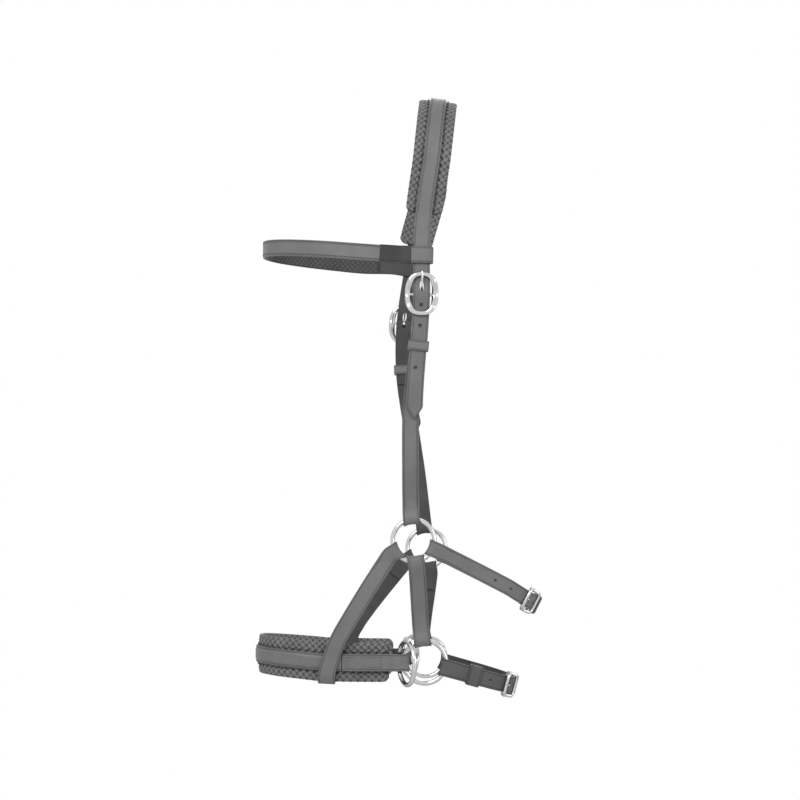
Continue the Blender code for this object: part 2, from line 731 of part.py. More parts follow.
ribbon("noseband_pad", "pad", nose,
       [(pad_low, NOSE_PAD), (pad_low + 2, NOSE_PAD), (pad_low + 6, NOSE_PAD),
        (pad_high - 6, NOSE_PAD), (pad_high - 2, NOSE_PAD), (pad_high, NOSE_PAD)],
       half=NOSE_PAD_HALF, thick=PAD_THICK, profile=pad_profile, narrow=nose_pad_width,
       step=9.0, pivot=swing)

# rein rings hang in the same end folds and stand out from the cheek
for side in SIDES:
    at = REIN_AT if side == "near" else nose.length - REIN_AT
    wire, along, out, across = nose.frame(at)
    back = -along * WAY[side]
    yaw = math.radians(REIN_YAW)
    outward = back * math.cos(yaw) + out * math.sin(yaw)
    ring_mesh(side + "_rein_ring", wire + outward * RING_R, outward.cross(across), outward,
              pivot=wire)

# diagonal straps: ring fold above, then once round the noseband
WRAP_AT = {"near": 95.5, "far": 90.0}
# how far down, and how far forward there, each point of the slanted turn lies
WRAP_WAY = ((-30.0, -10.8), (-9.0, -3.2), (11.0, 2.2), (31.0, 3.4))
wrap_n = NOSE_STRAP + LEATHER / 2 + RAISE + SLOT + LEATHER / 2 - LAYER


def wrap_s(side, forward):
    """Place along the noseband of a turn that has come forward by this much."""
    s = WRAP_AT[side] + forward
    return s if side == "near" else nose.length - s


for side in SIDES:
    u = upper[side]
    points, across = u.keys(u.toward(DIAGONAL_AIM))
    mid = nose.point(wrap_s(side, WRAP_WAY[0][1]), wrap_n + 2.9, WRAP_WAY[0][0])
    if side == "near":
        mid.x = -NOSE_START - 0.9
    wrap = [nose.point(wrap_s(side, forward), wrap_n, b) for b, forward in WRAP_WAY[1:]]
    points = points + [mid] + wrap
    across = across[:3]
    for i in range(3, len(points)):
        t = points[min(i + 1, len(points) - 1)] - points[i - 1]
        out = nose.frame(wrap_s(side, WRAP_WAY[i - 3][1]))[2]
        across.append(out.cross(t).normalized())
    lane = Lane(points, across)
    bottom = lane.s[5] + NOSE_PAD_HALF - 10.4
    top = lane.s[4] - 24.0
    inside = NOSE_PAD - PAD_THICK / 2 - SLOT - LEATHER / 2 - wrap_n - 0.9
    path = [(RING_R + 26.0, -LAYER)] + fold(RING_R, RING_FOLD, -1, -1.0)
    path += [(bottom - 12.0, LAYER), (bottom - 7.0, LAYER - 0.6), (bottom - 2.2, -1.5),
             (bottom + 0.9, -3.6), (bottom + 1.6, -5.4), (bottom + 1.5, inside + 3.2),
             (bottom + 0.4, inside + 0.9), (bottom - 2.5, inside), (bottom - 20.0, inside - 0.5),
             (top, inside - 2.2), (top - 3.0, inside - 0.8), (top - 9.0, -LAYER - 1.6), (top - 13.0, -LAYER - 0.2),
             (top - 26.0, -LAYER - 0.2)]
    ribbon(side + "_diagonal_strap", "leather", lane, path, step=14.0, pivot=u.c)


def under_lane(rings, drop, start, reach, half, square, lift):
    """Lane of a strap under the jaw: near ring, round the back, far ring."""
    near, far = rings["near"], rings["far"]
    a = math.radians(drop)
    along = Vector((math.cos(a), 0, -math.sin(a)))
    up = Vector((math.sin(a), 0, math.cos(a)))
    shift = (far.c - near.c) / 2
    centre = near.c + shift

    def place(f, y):
        t = y / abs(near.c.y)
        rise = lift * math.sin(math.pi * min(1.0, f / reach))
        return (Vector((centre.x + shift.x * t, y, centre.z + shift.z * t))
                + along * f + up * rise)

    middle = [place(start + f, y) for f, y in round_end(reach - start, half, square)]
    one, across_one = near.keys(place(start * 0.6, -half))
    two, across_two = far.keys(place(start * 0.6, half), leaving=False)
    return Lane(one + middle + two, across_one + [up] * len(middle) + across_two)


def under_strap(prefix, lane, bar_y, half, tail, keeper_down, pivot):
    """Jaw strap or chin strap: punched near strap, far strap with the buckle."""
    bar = lane.where_y(bar_y)
    finish = bar + tail
    near_path = [(RING_R + 34.0, -LAYER)] + fold(RING_R, RING_FOLD, -1, -1.0)
    near_path += [(bar - 32.0, LAYER)] + over_bar(bar, 4.6)
    near_path += [(finish - 13, BILLET), (finish - 3, BILLET), (finish, BILLET)]
    strap = ribbon(prefix + "_strap", "leather", lane, near_path, half=half, step=9.0,
                   narrow=lambda s: min(1.0, (1.4 + (finish - s) * 0.62) / half),
                   pivot=pivot)
    spots = [(bar - 5.2, 4.6, HOLE_R * 0.9)]
    spots += [(bar - 8.0 + k * LOOP_PITCH, 0.0, HOLE_R * 0.85) for k in (-2, -1, 1, 2)]
    combine(strap, punch(lane, spots, -0.1, 9.0), "DIFFERENCE")
    far_path = doubled((bar, BAR_FOLD, 0.0, 8.6, 30.0),
                       (lane.length - RING_R, RING_FOLD, 1.0, 14.0, 26.0))
    carrier = ribbon(prefix + "_buckle_strap", "leather", lane, far_path, half=half,
                     step=9.0, pivot=pivot)
    combine(carrier, punch(lane, [(bar, 5.0, TONGUE_WIDE / 2 + 0.6)], -9.0, 9.0), "DIFFERENCE")
    place = Block(lane, bar, -1)
    buckle(prefix + "_buckle", place, SQUARE_LONG, SQUARE_WIDE, 4.5, 1.7, 1.7)
    tongue(prefix + "_tongue", place, SQUARE_LONG)
    spot = bar + keeper_down
    tube(prefix + "_keeper", "leather", lane, spot, 8.0, half + 0.4,
         -LAYER - LEATHER / 2 - SLOT, BILLET + LEATHER / 2 + SLOT, pivot=lane.point(spot))


jaw = under_lane(upper, JAW_DROP, 90.0, JAW_REACH, JAW_HALF, 2.85, JAW_LIFT)
under_strap("jaw", jaw, -53.0, THIN_HALF, 64.0, 30.0, swing)
chin = under_lane(lower, CHIN_DROP, 45.0, CHIN_REACH, CHIN_HALF, 2.4, 0.0)
under_strap("chin", chin, -42.0, STRAP_HALF, 54.0, 27.0, lower_c["near"])
tube("chin_ring_keeper", "leather", chin, 51.0, 13.0, STRAP_HALF + 0.35,
     -LAYER - LEATHER / 2 - SLOT, LAYER + LEATHER / 2 + SLOT, pivot=chin.point(51.0))
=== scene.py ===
# %% [markdown]
# # A sidepull bridle
# A bitless bridle in black leather: a headstall over the poll, a browband, a
# braided noseband, two straps under the jaw and six bright rings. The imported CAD
# model is the fixed frame; this lesson dresses it, piece by piece.

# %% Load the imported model
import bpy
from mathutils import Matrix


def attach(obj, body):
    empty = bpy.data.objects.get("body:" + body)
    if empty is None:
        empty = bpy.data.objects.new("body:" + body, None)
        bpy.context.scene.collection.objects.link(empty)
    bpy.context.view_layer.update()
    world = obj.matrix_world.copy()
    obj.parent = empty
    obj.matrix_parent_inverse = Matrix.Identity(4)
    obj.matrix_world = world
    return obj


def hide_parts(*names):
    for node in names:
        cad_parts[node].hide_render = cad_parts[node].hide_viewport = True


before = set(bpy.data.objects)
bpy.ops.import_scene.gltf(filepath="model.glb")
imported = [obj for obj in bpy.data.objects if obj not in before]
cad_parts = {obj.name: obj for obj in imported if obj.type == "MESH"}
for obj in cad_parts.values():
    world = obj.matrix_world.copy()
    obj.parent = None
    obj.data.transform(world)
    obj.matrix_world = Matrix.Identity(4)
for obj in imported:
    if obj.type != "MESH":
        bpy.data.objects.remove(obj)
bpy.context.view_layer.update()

import math

import bpy
from mathutils import Vector

MM = 0.001

# %% [markdown]
# ## Camera
# The photograph looks at the near side, a little from below. A 67.5 mm lens on
# a 36 mm sensor gives the same perspective, so the far cheek shows where it
# does in the photograph. The camera is made first.

# %% Camera at the photograph's angle
CAMERA_AT, CAMERA_PITCH = (-0.040133, -1.581519, -0.457597), 5.332


def placed(name, data):
    """A new object in the scene."""
    thing = bpy.data.objects.new(name, data)
    bpy.context.scene.collection.objects.link(thing)
    return thing


camera_data = bpy.data.cameras.new("photo_camera")
camera_data.lens = 67.5
camera_data.sensor_width = 36.0
camera_data.clip_start = 0.05
camera = placed("photo_camera", camera_data)
camera.location = CAMERA_AT
camera.rotation_euler = (math.radians(90 + CAMERA_PITCH), 0.0, 0.0)
bpy.context.scene.camera = camera
bpy.context.scene.view_settings.view_transform = "Standard"
print("camera at", tuple(round(v, 3) for v in camera.location))

# %% [markdown]
# ## Lanes
# A strap is flat leather that follows a line on the head. It could be modelled
# point by point, but then every hole, stitch and keeper would need its own
# place. Here each line is a lane with a frame at every spot: s runs along it,
# n points away from the head and b runs across the strap. Straps, stitches and
# buckles are all drawn in (s, n, b), and the lane bends them round the head.
# The sizes are in millimetres.

# %% Sizes that the pieces share
STRAP_HALF, THIN_HALF, LEATHER, SLOT, RAISE = 8.5, 8.0, 2.0, 0.3, 0.8
HOLE_R, CROWN_PITCH, LOOP_PITCH = 2.0, 21.0, 17.5
PAD_THICK, CROWN_PAD_HALF, POLL_EXTRA, NOSE_PAD_HALF = 5.5, 19.2, 1.2, 20.0
LINING_THICK, PATCH_THICK, PATCH_LENGTH = 1.6, 0.8, 31.0
RING_R, WIRE_R, BAR_R, RIM_THICK = 21.0, 2.35, 1.6, 3.2
OVAL_LONG, OVAL_WIDE, SQUARE_LONG, SQUARE_WIDE = 19.9, 13.6, 10.4, 11.2
TONGUE_WIDE, TONGUE_THICK, KEEPER_LONG, KEEPER_THICK = 2.6, 1.4, 10.0, 1.6
BILLET_TAIL, KEEPER_DOWN, FOLD_REACH, RING_TAIL, REIN_YAW = 125.0, 52.0, 14.0, 26.0, 67.0
CHEEK_LONG, FACE_LONG, HEAD_HALF, NOSE_HALF = 460.0, 120.8, 87.6, 63.0
LEAN, ARCH_FLAT, ARCH_DROP = 0.11, 20.0, 75.0
ARCH_HALF, BROW_HALF = HEAD_HALF - 3.1, HEAD_HALF + 1.4
BROW_START, BROW_REACH, BROW_RISE = 59.0, 125.0, 12.8
NOSE_START, NOSE_REACH, NOSE_RISE = 97.1, 92.5, 8.0
LAYER = (LEATHER + SLOT) / 2
RING_FOLD = WIRE_R + 0.5 + LEATHER / 2
BAR_FOLD = BAR_R + 0.3 + LEATHER / 2
BILLET = LAYER + LEATHER + SLOT
OVER_BAR = BAR_FOLD + LEATHER + SLOT
RIM_UP = BILLET + LEATHER / 2 + SLOT + RIM_THICK / 2
PAD_MID = BILLET - LEATHER / 2 - SLOT - PAD_THICK / 2
PAD_UNDER = PAD_MID - PAD_THICK / 2
NOSE_STRAP = -LAYER
NOSE_PAD = NOSE_STRAP - LEATHER / 2 - SLOT - PAD_THICK / 2
SIDES, WAY = ("near", "far"), {"near": 1, "far": -1}
print("a billet lies", round(BILLET, 2), "mm above the middle of a doubled cheek")


# %% The lane and the ring plane
class Lane:
    """A smooth line through points, with the direction across the strap."""

    def __init__(self, points, across):
        self.p = [Vector(p) for p in points]
        self.b = [Vector(b) for b in across]
        self.s = [0.0]
        for one, two in zip(self.p, self.p[1:]):
            self.s.append(self.s[-1] + (two - one).length)
        last = len(self.p) - 1
        self.m = []
        for i in range(last + 1):
            lo, hi = max(0, i - 1), min(last, i + 1)
            self.m.append((self.p[hi] - self.p[lo]) / (self.s[hi] - self.s[lo]))
        self.length = self.s[-1]

    def frame(self, s):
        """Point, along, outward and across at s."""
        inside = min(max(s, 0.0), self.length)
        i = 0
        while i < len(self.s) - 2 and self.s[i + 1] < inside:
            i += 1
        span = self.s[i + 1] - self.s[i]
        t = (inside - self.s[i]) / span
        a, b, c, d = self.p[i], self.m[i] * span, self.p[i + 1], self.m[i + 1] * span
        point = (a * (2 * t**3 - 3 * t**2 + 1) + b * (t**3 - 2 * t**2 + t)
                 + c * (3 * t**2 - 2 * t**3) + d * (t**3 - t**2))
        along = (a * (6 * t**2 - 6 * t) + b * (3 * t**2 - 4 * t + 1)
                 + c * (6 * t - 6 * t**2) + d * (3 * t**2 - 2 * t)).normalized()
        across = self.b[i].lerp(self.b[i + 1], t)
        across = (across - along * across.dot(along)).normalized()
        return point + along * (s - inside), along, along.cross(across), across

    def point(self, s, n=0.0, b=0.0):
        origin, _, out, across = self.frame(s)
        return origin + out * n + across * b

    def where_y(self, y):
        s = 0.0
        while self.frame(s)[0].y < y and s < self.length:
            s += 0.25
        return s


class Block:
    """A straight frame at one place of a lane, for rigid metal pieces."""

    def __init__(self, lane, s, way):
        self.o, along, self.n, across = lane.frame(s)
        self.t, self.b = along * way, across * way

    def point(self, s, n=0.0, b=0.0):
        return self.o + self.t * s + self.n * n + self.b * b


class Ring:
    """Plane of a ring: centre, forward-back, up and outward."""

    def __init__(self, centre, above, outward):
        self.c = Vector(centre)
        self.out = outward.normalized()
        self.up = (above - self.out * above.dot(self.out)).normalized()
        x = Vector((1, 0, 0))
        self.back = (x - self.up * x.dot(self.up) - self.out * x.dot(self.out)).normalized()

    def toward(self, degrees):
        a = math.radians(degrees)
        return self.c + Vector((math.cos(a), 0, math.sin(a))) * 100

    def keys(self, target, leaving=True):
        """Lane points and across directions of a strap that meets the ring."""
        v = Vector(target) - self.c
        u = (v - self.out * v.dot(self.out)).normalized()
        points = [self.c + u * d for d in (0.0, RING_R, RING_R + 8.0)]
        across = self.out.cross(u if leaving else -u)
        return (points if leaving else points[::-1]), [across] * 3


def power(value, exponent):
    return math.copysign(abs(value) ** exponent, value)


def round_end(front, half, square, steps=5):
    """Forward and sideways points of a rounded U, from the near side to the far side."""
    out = []
    for k in range(-steps, steps + 1):
        a = math.pi / 2 * k / (steps + 0.6)
        out.append((front * power(math.cos(a), 2 / square), half * power(math.sin(a), 2 / square)))
    return out


# %% Ring planes and the lane of the headstall
upper_c = {"near": Vector((-26.6, -NOSE_HALF - 9.0, -CHEEK_LONG + 1.9)),
           "far": Vector((-11.1, NOSE_HALF + 9.0, -CHEEK_LONG - 6.3))}
lower_c = {"near": upper_c["near"] + Vector((11.4, 6.0, -FACE_LONG)),
           "far": upper_c["far"] + Vector((-0.8, -6.0, -FACE_LONG + 3.6))}
upper, lower = {}, {}
for side in SIDES:
    above = upper_c[side] - lower_c[side]
    sign = -1 if side == "near" else 1
    upper[side] = Ring(upper_c[side], above, (upper_c["far"] - upper_c["near"]) * sign)
    lower[side] = Ring(lower_c[side], above, (lower_c["far"] - lower_c["near"]) * sign)


def leg(places):
    return [Vector((-f * CHEEK_LONG, y * HEAD_HALF, -d * CHEEK_LONG)) for f, y, d in places]


near_leg = leg([(0.0643, -0.879, 0.8413), (0.0635, -0.9247, 0.7152), (0.0565, -0.9623, 0.6413),
                (0.0465, -0.9886, 0.5674), (0.04, -1.0, 0.46), (0.0400, -0.9886, 0.3739),
                (0.0348, -0.968, 0.2793)])
far_leg = leg([(0.0435, 0.8904, 0.8413), (0.0609, 0.9361, 0.7217), (0.0783, 0.9817, 0.5935),
               (0.0774, 1.0, 0.4696), (0.0587, 0.9886, 0.3348), (0.0500, 0.968, 0.2793)])
near_points, near_across = upper["near"].keys(upper_c["near"] + upper["near"].up * 90)
far_points, far_across = upper["far"].keys(far_leg[0], leaving=False)
arch = []
for k in range(6):
    a = math.radians(15 * k)
    arch.append((-ARCH_FLAT - (ARCH_HALF - ARCH_FLAT) * math.cos(a),
                 ARCH_DROP * (math.sin(a) - 1) - PAD_UNDER))
arch += [(-ARCH_FLAT, -PAD_UNDER), (-ARCH_FLAT / 2, -PAD_UNDER), (0.0, -PAD_UNDER)]
arch += [(-y, h) for y, h in arch[-2::-1]]
lean_up = Vector((LEAN, 0, 1)).normalized()
arch_points = [lean_up * h + Vector((0, y, 0)) for y, h in arch]
forward, level = Vector((-1, 0, LEAN)).normalized(), Vector((-1, 0, 0))
head = Lane(near_points + near_leg + arch_points + far_leg[::-1] + far_points,
            near_across + [level] * len(near_leg) + [forward] * len(arch_points)
            + [level] * len(far_leg) + far_across)
first = len(near_points)
after = first + len(near_leg) + len(arch_points)
bar_s = {"near": head.s[first + 4], "far": head.s[after + 2]}
loop_s = {"near": head.s[first + 5], "far": head.s[after + 1]}
pad_s = {"near": head.s[first + 6], "far": head.s[after]}
print("headstall from ring to ring:", round(head.length), "mm")

# %% Lanes of the browband, the noseband and the straps under the jaw
near_loop = head.point(loop_s["near"], BILLET)
far_loop = head.point(loop_s["far"], BILLET)
brow_points = [near_loop, near_loop + head.frame(loop_s["near"])[3] * 22]
for f, y in round_end(BROW_REACH, BROW_HALF, square=2.3, steps=6):
    base = near_loop.lerp(far_loop, (y / BROW_HALF + 1) / 2)
    brow_points.append(Vector((-BROW_START - f, y,
                               base.z + BROW_RISE * (f + 20) / (BROW_REACH + 20))))
brow_points += [far_loop + head.frame(loop_s["far"])[3] * 22, far_loop]
down_near, down_far = -head.frame(loop_s["near"])[1], head.frame(loop_s["far"])[1]
brow = Lane(brow_points, [down_near] * 2 + [Vector((0, 0, -1))] * (len(brow_points) - 4)
            + [down_far] * 2)

nose_targets = {"near": Vector((-NOSE_START, -NOSE_HALF + 0.5, lower_c["near"].z - 2.1)),
                "far": Vector((-NOSE_START, NOSE_HALF - 0.5, lower_c["far"].z + 0.1))}
near_points, near_across = lower["near"].keys(nose_targets["near"])
far_points, far_across = lower["far"].keys(nose_targets["far"], leaving=False)
nose_mid = []
for f, y in round_end(NOSE_REACH, NOSE_HALF, square=2.5, steps=6):
    t = (y / NOSE_HALF + 1) / 2
    z = nose_targets["near"].lerp(nose_targets["far"], t).z + NOSE_RISE * f / NOSE_REACH
    nose_mid.append(Vector((-NOSE_START - f, y, z)))
nose = Lane(near_points + nose_mid + far_points,
            near_across + [Vector((0, 0, -1))] * len(nose_mid) + far_across)


def under_lane(rings, drop, start, reach, half, square, lift):
    """Lane of a strap under the jaw: near ring, round the back, far ring."""
    near, far = rings["near"], rings["far"]
    a = math.radians(drop)
    along, up = Vector((math.cos(a), 0, -math.sin(a))), Vector((math.sin(a), 0, math.cos(a)))
    shift = (far.c - near.c) / 2
    centre = near.c + shift

    def place(f, y):
        t = y / abs(near.c.y)
        rise = lift * math.sin(math.pi * min(1.0, f / reach))
        return Vector((centre.x + shift.x * t, y, centre.z + shift.z * t)) + along * f + up * rise

    middle = [place(start + f, y) for f, y in round_end(reach - start, half, square)]
    one, across_one = near.keys(place(start * 0.6, -half))
    two, across_two = far.keys(place(start * 0.6, half), leaving=False)
    return Lane(one + middle + two, across_one + [up] * len(middle) + across_two)


jaw = under_lane(upper, drop=27.5, start=90.0, reach=134.0, half=NOSE_HALF + 7.0, square=2.85,
                 lift=4.0)
chin = under_lane(lower, drop=15.5, start=45.0, reach=92.0, half=NOSE_HALF + 1.0, square=2.4,
                  lift=0.0)
print("browband", round(brow.length), "noseband", round(nose.length), "jaw strap",
      round(jaw.length), "chin strap", round(chin.length), "mm")

# %% Lanes of the straps between the rings
spans, diagonals = {}, {}
WRAP_AT = {"near": 95.5, "far": 90.0}
WRAP_WAY = ((-30.0, -10.8), (-9.0, -3.2), (11.0, 2.2), (31.0, 3.4))
wrap_n = NOSE_STRAP + LEATHER / 2 + RAISE + SLOT + LEATHER / 2 - LAYER


def wrap_s(side, forward):
    """Place along the noseband of a turn that has come forward by this much."""
    s = WRAP_AT[side] + forward
    return s if side == "near" else nose.length - s


for side in SIDES:
    u, w = upper[side], lower[side]
    top_keys, top_across = u.keys(u.toward(277.5))
    low_keys, low_across = w.keys(w.toward(97.5), leaving=False)
    spans[side] = Lane(top_keys + low_keys, top_across + low_across)
    points, across = u.keys(u.toward(213.0))
    mid = nose.point(wrap_s(side, WRAP_WAY[0][1]), wrap_n + 2.9, WRAP_WAY[0][0])
    if side == "near":
        mid.x = -NOSE_START - 0.9
    points = points + [mid] + [nose.point(wrap_s(side, forward), wrap_n, b)
                               for b, forward in WRAP_WAY[1:]]
    across = across[:3]
    for i in range(3, len(points)):
        t = points[min(i + 1, len(points) - 1)] - points[i - 1]
        out = nose.frame(wrap_s(side, WRAP_WAY[i - 3][1]))[2]
        across.append(out.cross(t).normalized())
    diagonals[side] = Lane(points, across)
print("diagonal straps", [round(lane.length) for lane in diagonals.values()], "mm")

# %% [markdown]
# ## Finishes
# Bridle leather is dyed, greased and lightly polished. It has a fine pebble
# grain, it is darker and glossier where the edge was cut and burnished, and a
# hot crease line runs beside each edge. The flesh side is duller. All of these
# return on many pieces, so each effect is a node group that puts out a mask or
# a height, and every material mixes them with its own values. The straps carry
# a UV map called lay: its first number is the distance from the cut edge, one
# unit more on the flesh side and on tails turned back inside, which take the
# darker flesh colour as painted shade, and its second number runs along the strap.

# %% Helpers for node trees
def put(tree, kind, inputs=None, **settings):
    """One node; an input is a value or the socket that feeds it."""
    node = tree.nodes.new(kind)
    for key, value in settings.items():
        setattr(node, key, value)
    for key, value in (inputs or {}).items():
        if isinstance(value, bpy.types.NodeSocket):
            tree.links.new(value, node.inputs[key])
        else:
            node.inputs[key].default_value = value
    return node


def effect(name, inputs, outputs):
    """An empty shader group with named sockets."""
    tree = bpy.data.node_groups.new(name, "ShaderNodeTree")
    for label, value in inputs.items():
        tree.interface.new_socket(label, in_out="INPUT",
                                  socket_type="NodeSocketFloat").default_value = value
    for label in outputs:
        tree.interface.new_socket(label, in_out="OUTPUT", socket_type="NodeSocketFloat")
    return tree, put(tree, "NodeGroupInput"), put(tree, "NodeGroupOutput")


def math_node(tree, operation, *values):
    node = put(tree, "ShaderNodeMath", dict(enumerate(values)), operation=operation)
    return node.outputs[0]


def times(tree, one, two):
    return math_node(tree, "MULTIPLY", one, two)


def ramp(tree, value, low, high, to_low=0.0, to_high=1.0):
    """Smooth step from low to high."""
    node = put(tree, "ShaderNodeMapRange", {"Value": value, "From Min": low, "From Max": high,
                                            "To Min": to_low, "To Max": to_high},
               interpolation_type="SMOOTHSTEP")
    return node.outputs[0]


# %% Effect: leather grain
grain, given, result = effect("Leather grain", {"Pebble size": 1.0, "Wrinkle": 0.5},
                              ["Height", "Tone"])
place = put(grain, "ShaderNodeTexCoord").outputs["Object"]
pebble = put(grain, "ShaderNodeTexVoronoi", {
    "Vector": place, "Scale": math_node(grain, "DIVIDE", 1150.0, given.outputs["Pebble size"]),
    "Randomness": 1.0})
wrinkle = put(grain, "ShaderNodeTexNoise", {"Vector": place, "Scale": 320.0, "Detail": 3.0,
                                            "Roughness": 0.6})
patchy = put(grain, "ShaderNodeTexNoise", {"Vector": place, "Scale": 46.0, "Detail": 2.0})
folded = times(grain, wrinkle.outputs[0], given.outputs["Wrinkle"])
grain.links.new(math_node(grain, "ADD", pebble.outputs["Distance"], folded),
                result.inputs["Height"])
grain.links.new(ramp(grain, patchy.outputs[0], 0.3, 0.72), result.inputs["Tone"])
print("effect", grain.name)

# %% Effect: what the strap's own map says about its edges
edges, given, result = effect("Strap edges", {"Crease from edge": 1.7},
                              ["Edge", "Crease", "Flesh side and painted shade", "Across"])
lay = put(edges, "ShaderNodeUVMap", uv_map="lay").outputs[0]
parts = put(edges, "ShaderNodeSeparateXYZ", {"Vector": lay})
distance = times(edges, math_node(edges, "FRACT", parts.outputs[0]), 100.0)
edges.links.new(ramp(edges, distance, 0.15, 1.05, 1.0, 0.0), result.inputs["Edge"])
off = math_node(edges, "ABSOLUTE", math_node(edges, "SUBTRACT", distance,
                                             given.outputs["Crease from edge"]))
edges.links.new(ramp(edges, off, 0.22, 0.8, 1.0, 0.0), result.inputs["Crease"])
# Flesh side: the back of a strap, and tails turned back inside, where the darker flesh colour is
# painted shade.
edges.links.new(math_node(edges, "GREATER_THAN", parts.outputs[0], 0.99),
                result.inputs["Flesh side and painted shade"])
edges.links.new(ramp(edges, distance, 1.5, 8.0), result.inputs["Across"])
print("effect", edges.name)

# %% Effect: wear and dust
wear, given, result = effect("Rubbed patches", {"Amount": 0.5}, ["Rubbed", "Dust"])
place = put(wear, "ShaderNodeTexCoord").outputs["Object"]
rub = put(wear, "ShaderNodeTexNoise", {"Vector": place, "Scale": 24.0, "Detail": 4.0,
                                       "Roughness": 0.62})
fine = put(wear, "ShaderNodeTexNoise", {"Vector": place, "Scale": 900.0, "Detail": 1.0})
mask = ramp(wear, rub.outputs[0], 0.42, 0.7)
wear.links.new(times(wear, mask, given.outputs["Amount"]), result.inputs["Rubbed"])
wear.links.new(times(wear, fine.outputs[0], mask), result.inputs["Dust"])
print("effect", wear.name)

# %% [markdown]
# ### Leather, plait, thread and steel
# Each material keeps its own Principled shader. The colours are those of the
# photograph under plain light: a washed black that reads as a middle grey, with
# darker flesh sides. Painted shade darkens the chin strap, the tails turned back
# inside and the low gaps of the plaits; the sides of the steel carry a painted
# dark reflection. The groups only feed what changes over the surface.

# %% Strap leather
def new_material(name):
    material = bpy.data.materials.new(name)
    material.use_nodes = True
    tree = material.node_tree
    return material, tree, tree.nodes["Principled BSDF"]


def use(tree, group, **values):
    node = tree.nodes.new("ShaderNodeGroup")
    node.node_tree = group
    for key, value in values.items():
        node.inputs[key.replace("_", " ").capitalize()].default_value = value
    return node.outputs


def blend_colour(tree, factor, one, two):
    node = put(tree, "ShaderNodeMix", data_type="RGBA")
    for socket, value in ((node.inputs[0], factor), (node.inputs[6], one), (node.inputs[7], two)):
        if isinstance(value, bpy.types.NodeSocket):
            tree.links.new(value, socket)
        else:
            socket.default_value = value
    return node.outputs[2]


def grey(value, warm=0.0):
    return (value * (1 + warm), value, value * (1 - warm), 1.0)


def strap_leather(name, tone, flesh, crease=1.7, depth=0.22):
    """Dyed strap: grain, burnished edge, crease line and a duller flesh side."""
    material, tree, shader = new_material(name)
    pebbles, sides = use(tree, grain, pebble_size=1.0), use(tree, edges, crease_from_edge=crease)
    rubbed = use(tree, wear, amount=0.6)
    face = blend_colour(tree, pebbles["Tone"], grey(tone * 0.93), grey(tone * 1.07))
    face = blend_colour(tree, rubbed["Rubbed"], face, grey(tone * 1.16))
    face = blend_colour(tree, times(tree, sides["Crease"], 0.75), face, grey(tone * 0.4))
    face = blend_colour(tree, times(tree, sides["Edge"], 0.6), face, grey(tone * 0.5))
    # The back colour goes on the flesh side, and on tails turned back inside as painted shade.
    back = blend_colour(tree, pebbles["Tone"], grey(flesh * 0.85), grey(flesh * 1.15))
    tree.links.new(blend_colour(tree, sides["Flesh side and painted shade"], face, back),
                   shader.inputs["Base Color"])
    rough = ramp(tree, pebbles["Height"], 0.1, 0.9, 0.62, 0.5)
    rough = math_node(tree, "SUBTRACT", rough, times(tree, sides["Edge"], 0.12))
    rough = math_node(tree, "ADD", rough, times(tree, sides["Flesh side and painted shade"], 0.25))
    tree.links.new(rough, shader.inputs["Roughness"])
    height = math_node(tree, "SUBTRACT", times(tree, pebbles["Height"], depth),
                       times(tree, sides["Crease"], 0.9))
    bump = put(tree, "ShaderNodeBump", {"Height": height, "Strength": 0.35, "Distance": 0.00025})
    tree.links.new(bump.outputs[0], shader.inputs["Normal"])
    shader.inputs["Specular IOR Level"].default_value = 0.35
    return material


leather = strap_leather("bridle_leather", 0.150, 0.060)
# A darker copy of the strap leather: painted shade on the chin strap and its keepers.
painted_shade_leather = strap_leather("bridle_leather_dark", 0.085, 0.050)
keeper_leather = strap_leather("keeper_leather", 0.165, 0.070, crease=1.3)
patch_leather = strap_leather("bare_patch_leather", 0.024, 0.024, crease=1.2)
print("strap leathers", leather.name, painted_shade_leather.name, keeper_leather.name, patch_leather.name)


# %% Plaited leather, thread and bright steel
def soft_leather(name, tone, rough, depth, woven=True):
    """Thin leather of a plait or a pad: grain, rubbed patches and painted shade in the low gaps."""
    material, tree, shader = new_material(name)
    pebbles, rubbed = use(tree, grain, pebble_size=0.7), use(tree, wear, amount=0.7)
    face = blend_colour(tree, pebbles["Tone"], grey(tone * 0.85), grey(tone * 1.1))
    face = blend_colour(tree, rubbed["Rubbed"], face, grey(tone * 1.35))
    # Painted shade: the low parts of the strands, down in the gaps, are darker.
    if woven:
        height = put(tree, "ShaderNodeAttribute", attribute_name="height").outputs["Fac"]
        face = blend_colour(tree, ramp(tree, height, -0.1, 0.42), grey(tone * 0.5), face)
    tree.links.new(face, shader.inputs["Base Color"])
    tree.links.new(ramp(tree, pebbles["Height"], 0.1, 0.9, rough + 0.08, rough - 0.06),
                   shader.inputs["Roughness"])
    bump = put(tree, "ShaderNodeBump", {"Height": times(tree, pebbles["Height"], depth),
                                        "Strength": 0.4, "Distance": 0.0003})
    tree.links.new(bump.outputs[0], shader.inputs["Normal"])
    shader.inputs["Specular IOR Level"].default_value = 0.35
    return material


def twisted_thread(name, tone):
    """Waxed thread: its two plies show as a fine slanting line."""
    material, tree, shader = new_material(name)
    place = put(tree, "ShaderNodeTexCoord").outputs["Object"]
    ply = put(tree, "ShaderNodeTexWave", {"Vector": place, "Scale": 520.0, "Distortion": 1.5},
              bands_direction="DIAGONAL")
    tree.links.new(blend_colour(tree, ply.outputs[1], grey(tone * 0.8), grey(tone * 1.15)),
                   shader.inputs["Base Color"])
    tree.links.new(ramp(tree, ply.outputs[1], 0.0, 1.0, 0.5, 0.66), shader.inputs["Roughness"])
    return material


